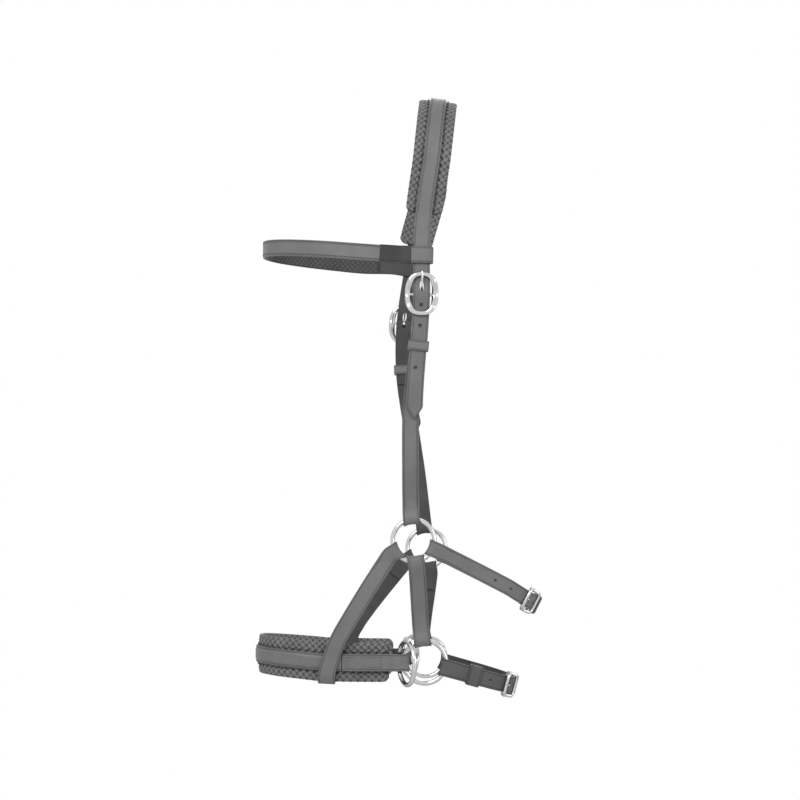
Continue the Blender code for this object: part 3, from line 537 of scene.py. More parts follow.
def bright_steel(name, tone, rough):
    """Polished wire with faint hand marks; its sides carry a painted dark reflection."""
    material, tree, shader = new_material(name)
    rubbed = use(tree, wear, amount=1.0)
    # Painted reflection: faces turned away from the camera get a darker base colour, in place of a
    # darker room mirrored in the sides.
    turned = put(tree, "ShaderNodeLayerWeight", {"Blend": 0.5}).outputs["Facing"]
    face = blend_colour(tree, rubbed["Rubbed"], grey(tone, 0.01), grey(tone * 0.9, 0.015))
    tree.links.new(blend_colour(tree, ramp(tree, turned, 0.3, 0.85), face, grey(tone * 0.3)),
                   shader.inputs["Base Color"])
    tree.links.new(ramp(tree, rubbed["Dust"], 0.0, 0.6, rough, rough + 0.12),
                   shader.inputs["Roughness"])
    shader.inputs["Metallic"].default_value = 1.0
    return material


plait_leather = soft_leather("plait_leather", 0.150, 0.56, 0.3)
pad_leather = soft_leather("pad_leather", 0.040, 0.7, 0.4, woven=False)
lining_plait = soft_leather("lining_plait", 0.075, 0.62, 0.3)
stitch_thread = twisted_thread("stitch_thread", 0.075)
lacing_thread = twisted_thread("lacing_thread", 0.020)
steel = bright_steel("bright_steel", 0.60, 0.13)
print("materials", len(bpy.data.materials))

# %% [markdown]
# ## Straps
# A strap is cut flat, its edges are rounded with an edger, and a hot iron draws
# the crease line. A cube or a curve bevel could stand for it, but the folds
# round rings and buckle bars would pinch. Here a fine section with rounded
# edges and a real groove is carried along a path in (s, n), station by station,
# and a smooth curve runs through the stations, so that a fold turns round its
# wire as thick leather does.

# %% A smooth path through its stations
def ease(t):
    t = min(1.0, max(0.0, t))
    return t * t * (3 - 2 * t)


def flow(path, station=9.0, step=3.0, turn=13.0):
    """Rows of (s, n, ring pull, sideways) on a smooth curve through the stations."""
    rows = [tuple(p) + (0.0,) * (4 - len(p)) for p in path]
    stops = [rows[0]]
    for one, two in zip(rows, rows[1:]):
        parts = max(1, math.ceil(abs(two[0] - one[0]) / station))
        stops += [tuple(a + (b - a) * k / parts for a, b in zip(one, two))
                  for k in range(1, parts + 1)]
    gap = [max(1e-6, math.dist(a[:2], b[:2])) for a, b in zip(stops, stops[1:])]
    pace = [[(b - a) / g for a, b in zip(one, two)] for one, two, g in zip(stops, stops[1:], gap)]
    slopes = [pace[0]]
    for i in range(1, len(stops) - 1):
        g, h = gap[i - 1], gap[i]
        slopes.append([(a * h + b * g) / (g + h) for a, b in zip(pace[i - 1], pace[i])])
    slopes.append(pace[-1])
    fine = [stops[0]]
    for i, g in enumerate(gap):
        one, two = slopes[i], slopes[i + 1]
        swing = abs(math.degrees(math.atan2(one[0] * two[1] - one[1] * two[0],
                                            one[0] * two[0] + one[1] * two[1])))
        parts = max(1, math.ceil(g / step), math.ceil(swing / turn))
        for k in range(1, parts + 1):
            t = k / parts
            h = (2 * t**3 - 3 * t**2 + 1, t**3 - 2 * t**2 + t, 3 * t**2 - 2 * t**3, t**3 - t**2)
            fine.append(tuple(h[0] * a + h[1] * g * ma + h[2] * b + h[3] * g * mb
                              for a, ma, b, mb in zip(stops[i], one, stops[i + 1], two)))
    return fine


# %% The section of a strap
def strap_section(half, thick, raised, crease):
    """Points (b, m) round a strap: face, rounded edges and flesh side."""
    t, r = thick / 2, min(0.6, thick * 0.32)
    spots = {0.0, half * 0.35, half - r - 0.05}
    spots |= {half - crease + d for d in (-0.5, -0.22, 0.0, 0.22, 0.5)} if crease else set()
    spots |= {half - d for d in (2.0, 2.4, 2.9, 3.4, 3.9, 4.4)} if raised else {half * 0.65}
    face = []
    for b in sorted(spots | {-b for b in spots}):
        groove = max(0.0, 1 - abs(half - crease - abs(b)) / 0.5) if crease else 0.0
        face.append((b, t + raised * ease((half - 2.0 - abs(b)) / 2.4) - 0.2 * ease(groove)))
    right = []
    for k in range(1, 4):
        a = math.radians(30 * k - 30)
        right.append((half - r + r * math.sin(a + math.radians(15)),
                      t - r + r * math.cos(a + math.radians(15))))
    right += [(b, -m) for b, m in right[::-1]]
    left = [(-b, m) for b, m in right[::-1]]
    return face + right + [(half - r, -t), (0.0, -t), (r - half, -t)] + left, len(face) + 6


def tube_faces(rows, count, closed=False):
    """Quads between the rows of a tube, with two end caps unless it is closed."""
    faces = []
    for i in range(rows if closed else rows - 1):
        one, two = i * count, (i + 1) % rows * count
        for k in range(count):
            j = (k + 1) % count
            faces.append((one + k, one + j, two + j, two + k))
    if not closed:
        faces += [tuple(range(count))[::-1], tuple(range((rows - 1) * count, rows * count))]
    return faces


def make_piece(name, verts, faces, material, maps=None, sharp=40):
    """A closed mesh in millimetres with its lay map, faces outwards."""
    maps = maps or [[(0.0, 0.0)] * len(face) for face in faces]
    volume = 0.0
    for face in faces:
        a = verts[face[0]]
        for i in range(1, len(face) - 1):
            volume += a.dot(verts[face[i]].cross(verts[face[i + 1]]))
    if volume < 0:
        faces, maps = [f[::-1] for f in faces], [m[::-1] for m in maps]
    mesh = bpy.data.meshes.new(name)
    mesh.from_pydata([v * MM for v in verts], [], faces)
    layer = mesh.uv_layers.new(name="lay")
    layer.data.foreach_set("uv", [c for face in maps for pair in face for c in pair])
    mesh.shade_smooth()
    mesh.set_sharp_from_angle(angle=math.radians(sharp))
    mesh.materials.append(material)
    return placed(name, mesh)


# %% Lay a strap along a lane
def heading(rows, i):
    """Unit direction (along s, along n) of a path at row i."""
    one, two = rows[max(0, i - 1)], rows[min(len(rows) - 1, i + 1)]
    ds, dn = two[0] - one[0], two[1] - one[1]
    size = math.hypot(ds, dn)
    return ds / size, dn / size


def lay_strap(name, lane, path, material, half=STRAP_HALF, thick=LEATHER, raised=0.0,
              crease=1.7, narrow=None, station=9.0, step=3.0):
    """Carry the section along the path; pull lets a fold follow the round of a ring.

    A tail that runs back on the inside is faced like the flesh side: its darker colour there is
    painted shade."""
    rows = flow(path, station, step)
    section, back_from = strap_section(half, thick, raised, crease)
    count = len(section)
    verts, reach = [], []
    for i, (s, n, pull, side) in enumerate(rows):
        ds, dn = heading(rows, i)
        scale = narrow(s) if narrow else 1.0
        reach.append(scale)
        for b, m in section:
            b *= scale
            sag = pull * (RING_R - math.sqrt(RING_R**2 - min(abs(b), 15.0)**2))
            verts.append(lane.point(s - dn * m + sag, n + ds * m, b + side))
    run = [0.0]
    for one, two in zip(rows, rows[1:]):
        run.append(run[-1] + math.dist(one[:2], two[:2]))
    maps = []
    for i in range(len(rows) - 1):
        # A tail running back inside is mapped as flesh side, so it takes the darker flesh colour as
        # painted shade.
        inner = rows[i + 1][0] < rows[i][0] and rows[i][1] < 0.0
        for k in range(count):
            shift = 1.0 if inner or back_from <= k < back_from + 2 else 0.0
            near, far = [(half - abs(section[p][0])) / 100 for p in (k, (k + 1) % count)]
            maps.append([(near * reach[i] + shift, run[i] / 100),
                         (far * reach[i] + shift, run[i] / 100),
                         (far * reach[i + 1] + shift, run[i + 1] / 100),
                         (near * reach[i + 1] + shift, run[i + 1] / 100)])
    maps += [[(0.0, 0.0)] * count] * 2
    return make_piece(name, verts, tube_faces(len(rows), count), material, maps)


def hand_over(piece, body, slot, *nodes):
    """The piece rides on its body and stands for its CAD nodes."""
    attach(piece, body)
    if nodes:
        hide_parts(*nodes)
    return piece


print("a plain strap has", len(strap_section(STRAP_HALF, LEATHER, 0.0, 1.7)[0]), "points round it")

# %% Folds, tips and bumps
def fold(at, radius, way, pull=0.0, reach=FOLD_REACH):
    """Turn of a strap round a wire: way 1 at the high end, minus 1 at the low end."""
    lead = [(at - way * reach * (1 - k / 3), LAYER + (radius - LAYER) * ease(k / 3),
             pull * ease(k / 3)) for k in range(4)]
    arc = []
    for k in range(1, 6):
        a = math.pi / 2 - math.pi * k / 6
        arc.append((at + way * radius * math.cos(a), radius * math.sin(a), pull))
    whole = lead + arc + [(s, -n, p) for s, n, p in lead[::-1]]
    return [(s, -n, p) for s, n, p in whole] if way < 0 else whole


def doubled(low, high):
    """Strap turned back at both ends: low and high are (at, radius, pull, reach, tail)."""
    return ([(low[0] + low[4], -LAYER)] + fold(low[0], low[1], -1, -low[2], low[3])
            + fold(high[0], high[1], 1, high[2], high[3]) + [(high[0] - high[4], -LAYER)])


def over_bar(at, reach=7.0):
    """Bump of a billet over a buckle bar."""
    half_way = BILLET + 0.55 * (OVER_BAR - BILLET)
    return [(at - reach * 1.9, BILLET), (at - reach, half_way), (at - reach * 0.4, OVER_BAR),
            (at + reach * 0.4, OVER_BAR), (at + reach, half_way), (at + reach * 1.9, BILLET)]


def pointed(low, high, half=STRAP_HALF):
    """English point at an end: the strap narrows to a blunt tip."""
    return lambda s: min(1.0, (1.4 + max(0.0, min(s - low, high - s)) * 0.62) / half)


# %% [markdown]
# ## Punched holes
# Holes are punched at one pitch so that both cheeks buckle alike. They repeat
# along a path, so a Geometry Nodes tree makes them: it puts a round punch on
# every mark and cuts the strap with all of them at once. The marks carry how
# long and wide each hole is, because the hole over the buckle bar is a slot.

# %% Tree helpers
def new_tree(name, sizes):
    """A geometry tree with named inputs."""
    tree = bpy.data.node_groups.new(name, "GeometryNodeTree")
    tree.interface.new_socket("Geometry", in_out="INPUT", socket_type="NodeSocketGeometry")
    for label, (kind, value) in sizes.items():
        socket = tree.interface.new_socket(label, in_out="INPUT", socket_type="NodeSocket" + kind)
        if value is not None:
            socket.default_value = value
    tree.interface.new_socket("Geometry", in_out="OUTPUT", socket_type="NodeSocketGeometry")
    return tree, put(tree, "NodeGroupInput"), put(tree, "NodeGroupOutput")


def stored(tree, name, kind="FLOAT_VECTOR"):
    return put(tree, "GeometryNodeInputNamedAttribute", {"Name": name}, data_type=kind).outputs[0]


def aimed(tree, out, along):
    """Rotation whose Z points out and whose X points along."""
    up = put(tree, "FunctionNodeAlignRotationToVector", {"Vector": out}, axis="Z")
    return put(tree, "FunctionNodeAlignRotationToVector",
               {"Rotation": up.outputs[0], "Vector": along}, axis="X", pivot_axis="Z").outputs[0]


def close_tree(tree, geometry, material_socket, output):
    """Realize Instances and Set Material end every tree."""
    real = put(tree, "GeometryNodeRealizeInstances", {"Geometry": geometry})
    smooth = put(tree, "GeometryNodeSetShadeSmooth", {"Geometry": real.outputs[0]})
    finish = put(tree, "GeometryNodeSetMaterial", {"Geometry": smooth.outputs[0],
                                                   "Material": material_socket})
    tree.links.new(finish.outputs[0], output.inputs[0])


def grow(piece, tree, **values):
    """Run a tree on a piece and keep the result as a plain mesh."""
    modifier = piece.modifiers.new("grow", "NODES")
    modifier.node_group = tree
    for item in tree.interface.items_tree:
        key = item.name.replace(" ", "_").lower()
        if item.in_out == "INPUT" and key in values:
            modifier[item.identifier] = values[key]
    graph = bpy.context.evaluated_depsgraph_get()
    result = bpy.data.meshes.new_from_object(piece.evaluated_get(graph))
    piece.modifiers.clear()
    piece.data = result
    return piece


def marked(name, spots, edges=(), **attributes):
    """Points in millimetres that carry vectors or numbers for a tree."""
    mesh = bpy.data.meshes.new(name)
    mesh.from_pydata([p * MM for p in spots], list(edges), [])
    for key, values in attributes.items():
        flat = isinstance(values[0], float)
        layer = mesh.attributes.new(key, "FLOAT" if flat else "FLOAT_VECTOR", "POINT")
        layer.data.foreach_set("value" if flat else "vector",
                               values if flat else [c for v in values for c in v])
    return placed(name, mesh)


# %% The punch
punch_tree, given, output = new_tree("Punch a row of holes", {
    "Marks": ("Object", None), "Punch depth": ("Float", 0.012), "Leather": ("Material", None)})
marks = put(punch_tree, "GeometryNodeObjectInfo", {"Object": given.outputs["Marks"]},
            transform_space="RELATIVE")
pin = put(punch_tree, "GeometryNodeMeshCylinder", {"Vertices": 20, "Radius": 1.0,
                                                   "Depth": given.outputs["Punch depth"]})
pins = put(punch_tree, "GeometryNodeInstanceOnPoints", {
    "Points": marks.outputs["Geometry"], "Instance": pin.outputs["Mesh"],
    "Rotation": aimed(punch_tree, stored(punch_tree, "out"), stored(punch_tree, "along")),
    "Scale": stored(punch_tree, "size")})
cut = put(punch_tree, "GeometryNodeMeshBoolean", {"Mesh 1": given.outputs["Geometry"],
                                                  "Mesh 2": pins.outputs[0]},
          operation="DIFFERENCE", solver="EXACT")
real = put(punch_tree, "GeometryNodeRealizeInstances", {"Geometry": cut.outputs[0]})
finish = put(punch_tree, "GeometryNodeSetMaterial", {"Geometry": real.outputs[0],
                                                     "Material": given.outputs["Leather"]})
punch_tree.links.new(finish.outputs[0], output.inputs[0])


def punch(piece, lane, holes, n, depth):
    """Cut holes (s, half length, half width) through the layer at height n."""
    frames = [lane.frame(s) for s, _, _ in holes]
    spots = [p + out * n for p, _, out, _ in frames]
    marks = marked("marks", spots, out=[f[2] for f in frames], along=[f[1] for f in frames],
                   size=[(long * MM, wide * MM, 1.0) for _, long, wide in holes])
    grow(piece, punch_tree, marks=marks, punch_depth=depth * MM, leather=piece.data.materials[0])
    bpy.data.objects.remove(marks, do_unlink=True)
    piece.data.set_sharp_from_angle(angle=math.radians(40))
    print(piece.name, "punched", len(holes), "times,", len(piece.data.polygons), "faces")
    return piece


# %% [markdown]
# ## Headstall straps
# The crown strap is one long strap: smooth over the pad at the poll, then a
# pointed billet on each cheek with five holes. Each cheekpiece is folded round
# the buckle bar and round the upper ring, so it is two layers thick. The strap
# is drawn as its maker cuts it, from tip to tip, and punched last.

# %% Crown strap
# how far from the tip, and how far the billet lies to the side there
billet_ends, billet_level = [(0, -3.6), (3, -3.6), (13, -3.24), (50, -1.26)], 68
start, finish_s = bar_s["near"] - BILLET_TAIL, bar_s["far"] + BILLET_TAIL
flat_from = head.s[first + len(near_leg) + 6]
pad_stops = [pad_s["near"] + d for d in (0.0, 2.0, 6.0)]
pad_stops += [flat_from + ARCH_FLAT / 2 * k for k in range(5)]
pad_stops += [pad_s["far"] - d for d in (6.0, 2.0, 0.0)]
crown_path = [(start + d, BILLET, 0, aside) for d, aside in billet_ends]
crown_path += [(start + billet_level, BILLET)] + over_bar(bar_s["near"])
crown_path += [(s, BILLET) for s in pad_stops]
crown_path += over_bar(bar_s["far"]) + [(finish_s - billet_level, BILLET)]
crown_path += [(finish_s - d, BILLET, 0, aside) for d, aside in billet_ends[::-1]]
crown = lay_strap("crown", head, crown_path, leather, narrow=pointed(start, finish_s),
                  station=10.0)
holes = []
for side in SIDES:
    holes.append((bar_s[side] + WAY[side] * 8.2, 3.7 + HOLE_R, HOLE_R))
    holes += [(bar_s[side] + WAY[side] * (10.0 - k * CROWN_PITCH), HOLE_R, HOLE_R)
              for k in range(1, 5)]
punch(crown, head, holes, BILLET + 0.6, 6.0)
hand_over(crown, "headstall", "crown_strap", "crown_strap")

# %% Cheekpieces
CHEEK_TAIL, SLOT_HALF = 68.0, 1.9
for side in SIDES:
    ring_end = (RING_R, RING_FOLD, 1.0, FOLD_REACH, RING_TAIL)
    bar_end = (bar_s[side], BAR_FOLD, 0.0, FOLD_REACH, CHEEK_TAIL)
    if side == "near":
        path = doubled(ring_end, bar_end)
    else:
        path = doubled(bar_end, (head.length - RING_R,) + ring_end[1:])
    cheek = lay_strap(side + "_cheek", head, path, leather, station=20.0)
    punch(cheek, head, [(bar_s[side], 3.0 + SLOT_HALF, SLOT_HALF)], 0.0, 14.0)
    hand_over(cheek, "headstall", side + "_cheekpiece", side + "_cheekpiece")

# %% [markdown]
# ## Straps between the rings
# The vertical strap joins the two rings of a cheek; the diagonal strap goes
# from the upper ring down to the noseband, wraps round it and is sewn to
# itself. The vertical strap and the noseband have a face raised over a filler,
# with a stitched bevel on each side; the diagonal strap is flat. The wrap is
# one path, so the turn below the noseband stays as thick as the strap.

# %% Vertical and diagonal straps
for side in SIDES:
    span = spans[side]
    path = doubled(*[(at, RING_FOLD, 1.0, FOLD_REACH, RING_TAIL - 2.0)
                     for at in (RING_R, span.length - RING_R)])
    strap = lay_strap(side + "_vertical", span, path, leather, raised=RAISE, crease=0,
                      station=30.0)
    hand_over(strap, "nosepart", side + "_vertical_strap", side + "_vertical_strap")
    lane = diagonals[side]
    bottom = lane.s[5] + NOSE_PAD_HALF - 11.6
    top, inside = lane.s[4] - 24.0, NOSE_PAD - PAD_THICK / 2 - SLOT - LEATHER / 2 - wrap_n - 0.9
    path = [(RING_R + RING_TAIL, -LAYER)] + fold(RING_R, RING_FOLD, -1, -1.0)
    path += [(bottom - 12.0, LAYER), (bottom - 7.0, LAYER - 0.6), (bottom - 2.2, -1.5),
             (bottom + 0.9, -3.6), (bottom + 1.6, -5.4), (bottom + 1.5, inside + 3.2),
             (bottom + 0.4, inside + 0.9), (bottom - 2.5, inside), (bottom - 20.0, inside - 0.5),
             (top, inside - 2.2), (top - 3.0, inside - 0.8), (top - 9.0, -LAYER - 1.6),
             (top - 13.0, -LAYER - 0.2), (top - 26.0, -LAYER - 0.2)]
    strap = lay_strap(side + "_diagonal", lane, path, leather, station=14.0)
    hand_over(strap, "nosepart", side + "_diagonal_strap", side + "_diagonal_strap")
print("straps between the rings done")

# %% Noseband strap and its end folds
REIN_AT, FRONT_AT, PAD_START = RING_R + 2 * WIRE_R + 0.5, 83.0, 35.5
pad_low, pad_high = PAD_START, nose.length - PAD_START


def nose_end(flip):
    """End fold that holds the lower ring and the rein ring side by side."""
    r = RING_FOLD
    turn = [(RING_R + r * math.cos(a), r * math.sin(a), -1.0)
            for a in [math.radians(-90 - 22.5 * k) for k in range(9)]]
    path = [(58.0, -LAYER), (35.0, -LAYER), (32.5, -LAYER - 0.4), (29.5, -r + 0.9, -0.4),
            (26.0, -r, -0.8)] + turn
    path += [(REIN_AT - 1.5, r + 1.7, -0.8), (REIN_AT + 3.0, r + 1.7, -0.3),
             (REIN_AT + 9.0, LAYER + 1.4), (REIN_AT + 15.0, LAYER), (66.0, LAYER),
             (78.0, -LAYER), (FRONT_AT, -LAYER)]
    if flip:
        path = [(nose.length - p[0], p[1], -(p[2] if len(p) > 2 else 0.0)) for p in path[::-1]]
    return path


for side in SIDES:
    end = lay_strap(side + "_noseband_fold", nose, nose_end(side == "far"), leather, station=8.0)
    hand_over(end, "nosepart", side + "_noseband_end", side + "_noseband_end")
band_low, band_high = FRONT_AT + SLOT * 2, nose.length - FRONT_AT - SLOT * 2
band = lay_strap("noseband", nose, [(band_low, NOSE_STRAP), (band_high, NOSE_STRAP)], leather,
                 raised=RAISE, crease=0)
hand_over(band, "nosepart", "noseband_strap", "noseband_strap")
print("noseband", len(band.data.polygons), "faces")

# %% [markdown]
# ## Browband
# The browband is a smooth strap with a woven lining. At each end a loop of the
# same leather goes round the crown leg, and its tail lies behind the lining. A
# bare dark patch covers the near end. The plait of the lining starts where the
# tails of the loops end.

# %% Browband strap, loops and patch
LOOP_N, front_end = LEATHER + SLOT + 0.3, 10.7
brow_low, brow_high = front_end + SLOT, brow.length - front_end - SLOT
brow_path = [(brow_low, LOOP_N), (brow_low + 10.0, LAYER), (brow_high - 10.0, LAYER),
             (brow_high, LOOP_N)]
strap = lay_strap("browband", brow, brow_path, leather, station=10.0)
hand_over(strap, "headstall", "browband_strap", "browband_strap")
lining_n = LAYER - LEATHER / 2 - SLOT - LINING_THICK / 2
tail_n = lining_n - LINING_THICK / 2 - SLOT - LEATHER / 2
turn = STRAP_HALF - 0.2
arc = []
for k in range(9):
    a = math.radians(-90 - 180 * k / 8)
    arc.append((-turn + LOOP_N * math.cos(a), LOOP_N * math.sin(a)))
loop_path = [(36.0, tail_n), (16.0, tail_n), (10.0, -LOOP_N)] + arc + [(front_end, LOOP_N)]
for side in SIDES:
    path = loop_path if side == "near" else [(brow.length - s, n) for s, n in loop_path[::-1]]
    loop = lay_strap(side + "_loop", brow, path, leather, crease=1.3)
    hand_over(loop, "headstall", side + "_browband_loop", side + "_browband_loop")
patch_n = LEATHER / 2 + 0.15 + PATCH_THICK / 2
patch_path = [(brow_low, LOOP_N + patch_n), (brow_low + 10, LAYER + patch_n),
              (brow_low + PATCH_LENGTH, LAYER + patch_n)]
patch = lay_strap("bare_patch", brow, patch_path, patch_leather, half=STRAP_HALF + 0.3,
                  thick=PATCH_THICK, crease=0, station=8.0)
hand_over(patch, "headstall", "browband_patch", "browband_patch")
print("browband done")

# %% [markdown]
# ## Straps under the jaw
# The near half of each strap is a punched billet; the far half is doubled and
# carries a square buckle. The spare holes are a little smaller than on the
# cheeks, and the one in use is a slot.

# %% Jaw strap and chin strap
# lane, buckle bar, half width, billet beyond the bar, keeper beyond the bar
under = {"jaw": (jaw, jaw.where_y(-53.0), THIN_HALF, 64.0, 30.0),
         "chin": (chin, chin.where_y(-42.0), STRAP_HALF, 54.0, 27.0)}
for name, (lane, bar, half, tail, down) in under.items():
    tip = bar + tail
    # The chin strap takes the darker copy of the leather, as painted shade.
    finish = leather if name == "jaw" else painted_shade_leather
    path = [(RING_R + 34.0, -LAYER)] + fold(RING_R, RING_FOLD, -1, -1.0)
    path += [(bar - 32.0, LAYER)] + over_bar(bar, 4.6)
    path += [(tip - 13, BILLET), (tip - 3, BILLET), (tip, BILLET)]
    billet = lay_strap(name + "_billet", lane, path, finish, half=half,
                       narrow=pointed(-1000.0, tip, half))
    spots = [(bar - 5.5, 3.6 + HOLE_R * 0.9, HOLE_R * 1.06)]
    spots += [(bar - 8.0 + k * LOOP_PITCH, HOLE_R * 0.85, HOLE_R * 0.85) for k in (-2, -1, 1, 2)]
    punch(billet, lane, spots, 4.4, 9.0)
    hand_over(billet, name + "_loop", name + "_strap", name + "_strap")
    path = doubled((bar, BAR_FOLD, 0.0, 8.6, 30.0),
                   (lane.length - RING_R, RING_FOLD, 1.0, FOLD_REACH, RING_TAIL))
    carrier = lay_strap(name + "_carrier", lane, path, finish, half=half)
    punch(carrier, lane, [(bar, 2.5 + SLOT_HALF, SLOT_HALF)], 0.0, 14.0)
    hand_over(carrier, name + "_loop", name + "_buckle_strap", name + "_buckle_strap")

# %% [markdown]
# ## Keepers
# A keeper is a short band of leather, butted and sewn at the back, that holds
# the tail of a billet down. A bent tube would have sharp rims. Here the strap
# section itself is carried round a rounded rectangle, so the keeper gets the
# same edges and crease lines as the straps.

# %% Keepers
def rounded_box(half, low, high, corner=1.0, turns=5):
    """Spots (b, n) and outward directions round the layers that a keeper holds."""
    out = []
    for cb, cn, first_turn in ((half - corner, high - corner, 90), (half - corner, low + corner, 0),
                               (corner - half, low + corner, -90),
                               (corner - half, high - corner, -180)):
        for k in range(turns + 1):
            a = math.radians(first_turn - 90 * k / turns)
            out.append((cb + corner * math.cos(a), cn + corner * math.sin(a),
                        math.cos(a), math.sin(a)))
    spread = []
    for one, two in zip(out, out[1:] + out[:1]):
        parts = max(1, math.ceil(math.dist(one[:2], two[:2]) / 2.5))
        spread += [tuple(p + (q - p) * k / parts for p, q in zip(one, two)) for k in range(parts)]
    return spread


def wrap_keeper(name, lane, at, long, half, low, high, material):
    section, back_from = strap_section(long / 2, KEEPER_THICK, 0.0, 1.3)
    spots, count = rounded_box(half, low, high), len(section)
    verts, maps = [], []
    for b, n, ob, on in spots:
        for ds, m in section:
            lift = m + KEEPER_THICK / 2
            verts.append(lane.point(at + ds, n + on * lift, b + ob * lift))
    for i in range(len(spots)):
        for k in range(count):
            shift = 1.0 if back_from <= k < back_from + 2 else 0.0
            one, two = [(long / 2 - abs(section[p][0])) / 100 + shift
                        for p in (k, (k + 1) % count)]
            maps.append([(one, i / 50), (two, i / 50), (two, (i + 1) / 50), (one, (i + 1) / 50)])
    return make_piece(name, verts, tube_faces(len(spots), count, closed=True), material, maps)


KEEPER_ROOM = 0.4
under_low, over_high = -LAYER - LEATHER / 2 - SLOT, BILLET + LEATHER / 2 + SLOT
for side in SIDES:
    spot = bar_s[side] - WAY[side] * KEEPER_DOWN
    keeper = wrap_keeper(side + "_cheek_band", head, spot, KEEPER_LONG, STRAP_HALF + KEEPER_ROOM,
                         under_low, over_high, keeper_leather)
    name = side + "_cheek_keeper"
    hand_over(keeper, name + "_body", name, name)
# The chin keepers, here and below, take the darker copy of the leather, as painted shade.
for prefix, (lane, bar, half, tail, down) in under.items():
    keeper = wrap_keeper(prefix + "_band", lane, bar + down, 8.0, half + KEEPER_ROOM,
                         under_low, over_high, leather if prefix == "jaw" else painted_shade_leather)
    hand_over(keeper, prefix + "_keeper_body", prefix + "_keeper", prefix + "_keeper")
keeper = wrap_keeper("chin_ring_band", chin, 51.0, 13.0, STRAP_HALF + 0.35, under_low,
                     LAYER + LEATHER / 2 + SLOT, painted_shade_leather)
hand_over(keeper, "chin_ring_keeper_body", "chin_ring_keeper", "chin_ring_keeper")
print("keeper", len(keeper.data.polygons), "faces")

# %% [markdown]
# ## Rings and buckles
# Rings are bent from round wire and welded; the weld is a slight bead. Buckles
# are cast: an oval frame on the cheeks, a square one under the jaw, each with a
# centre bar and bows that stand over the straps. A torus primitive would do for
# a ring, but all metal is swept here the same way, so that a frame can change
# its width and rise as it goes round.

# %% Sweep a closed wire
def sweep_wire(name, spots, material, sides=18):
    """Closed wire through spots: (centre, one axis, other axis, half one, half other)."""
    verts = []
    for centre, one, two, half_one, half_two in spots:
        for k in range(sides):
            c = 2 * math.pi * k / sides
            verts.append(centre + one * half_one * math.cos(c) + two * half_two * math.sin(c))
    return make_piece(name, verts, tube_faces(len(spots), sides, closed=True), material)


RING_STEPS, WELD_AT = 112, 30


def ring(name, centre, axis, aside, body, node):
    one = aside.normalized()
    axis = axis.normalized()
    two, spots = axis.cross(one), []
    for i in range(RING_STEPS):
        a = 2 * math.pi * i / RING_STEPS
        radial = one * math.cos(a) + two * math.sin(a)
        bead = 1.0 + 0.05 * math.exp(-((i - WELD_AT) / 1.6) ** 2)
        spots.append((centre + radial * RING_R, radial, axis, WIRE_R * bead, WIRE_R * bead))
    return hand_over(sweep_wire(name, spots, steel), body, node, node)


for side in SIDES:
    u, w = upper[side], lower[side]
    ring(side + "_top_ring", u.c, u.out, u.back, side + "_upper_ring_body", side + "_upper_ring")
    ring(side + "_low_ring", w.c, w.out, w.back, side + "_lower_ring_body", side + "_lower_ring")
    at = REIN_AT if side == "near" else nose.length - REIN_AT
    wire, along, out, across = nose.frame(at)
    yaw = math.radians(REIN_YAW)
    outward = -along * WAY[side] * math.cos(yaw) + out * math.sin(yaw)
    ring(side + "_rein_wire", wire + outward * RING_R, outward.cross(across), outward,
         side + "_rein_ring_body", side + "_rein_ring")
print("six rings of", round(2 * (RING_R + WIRE_R), 1), "mm outside")


# %% Buckle frames and tongues
def buckle(name, place, long, wide, square, side_rim, end_rim, body, node):
    def centre(a):
        s = long * power(math.cos(a), 2 / square)
        return (s, RIM_UP * ease(min(1.0, abs(s) / (long * 0.72))),
                wide * power(math.sin(a), 2 / square))

    spots, total = [], 120
    for i in range(total):
        a = 2 * math.pi * i / total
        ahead, behind = centre(a + 0.02), centre(a - 0.02)
        ds, db = ahead[0] - behind[0], ahead[2] - behind[2]
        size = math.hypot(ds, db)
        rim = end_rim + (side_rim - end_rim) * math.sin(a) ** 2
        spots.append((place.point(*centre(a)), place.t * (db / size) - place.b * (ds / size),
                      place.n, rim, RIM_THICK / 2))
    frame_piece = sweep_wire(name, spots, steel)
    verts, sides = [], 18
    reach = wide - side_rim * 0.3
    for b in (-reach, -reach * 0.5, 0.0, reach * 0.5, reach):
        for k in range(sides):
            a = 2 * math.pi * k / sides
            verts.append(place.point(BAR_R * math.cos(a), BAR_R * math.sin(a), b))
    bar = make_piece(name + "_bar", verts, tube_faces(5, sides), steel)
    return hand_over(joined(frame_piece, bar), body, node, node)


def joined(piece, *others):
    """Several meshes as one piece, each with its own finish."""
    with bpy.context.temp_override(active_object=piece, object=piece,
                                   selected_objects=[piece, *others],
                                   selected_editable_objects=[piece, *others]):
        bpy.ops.object.join()
    return piece


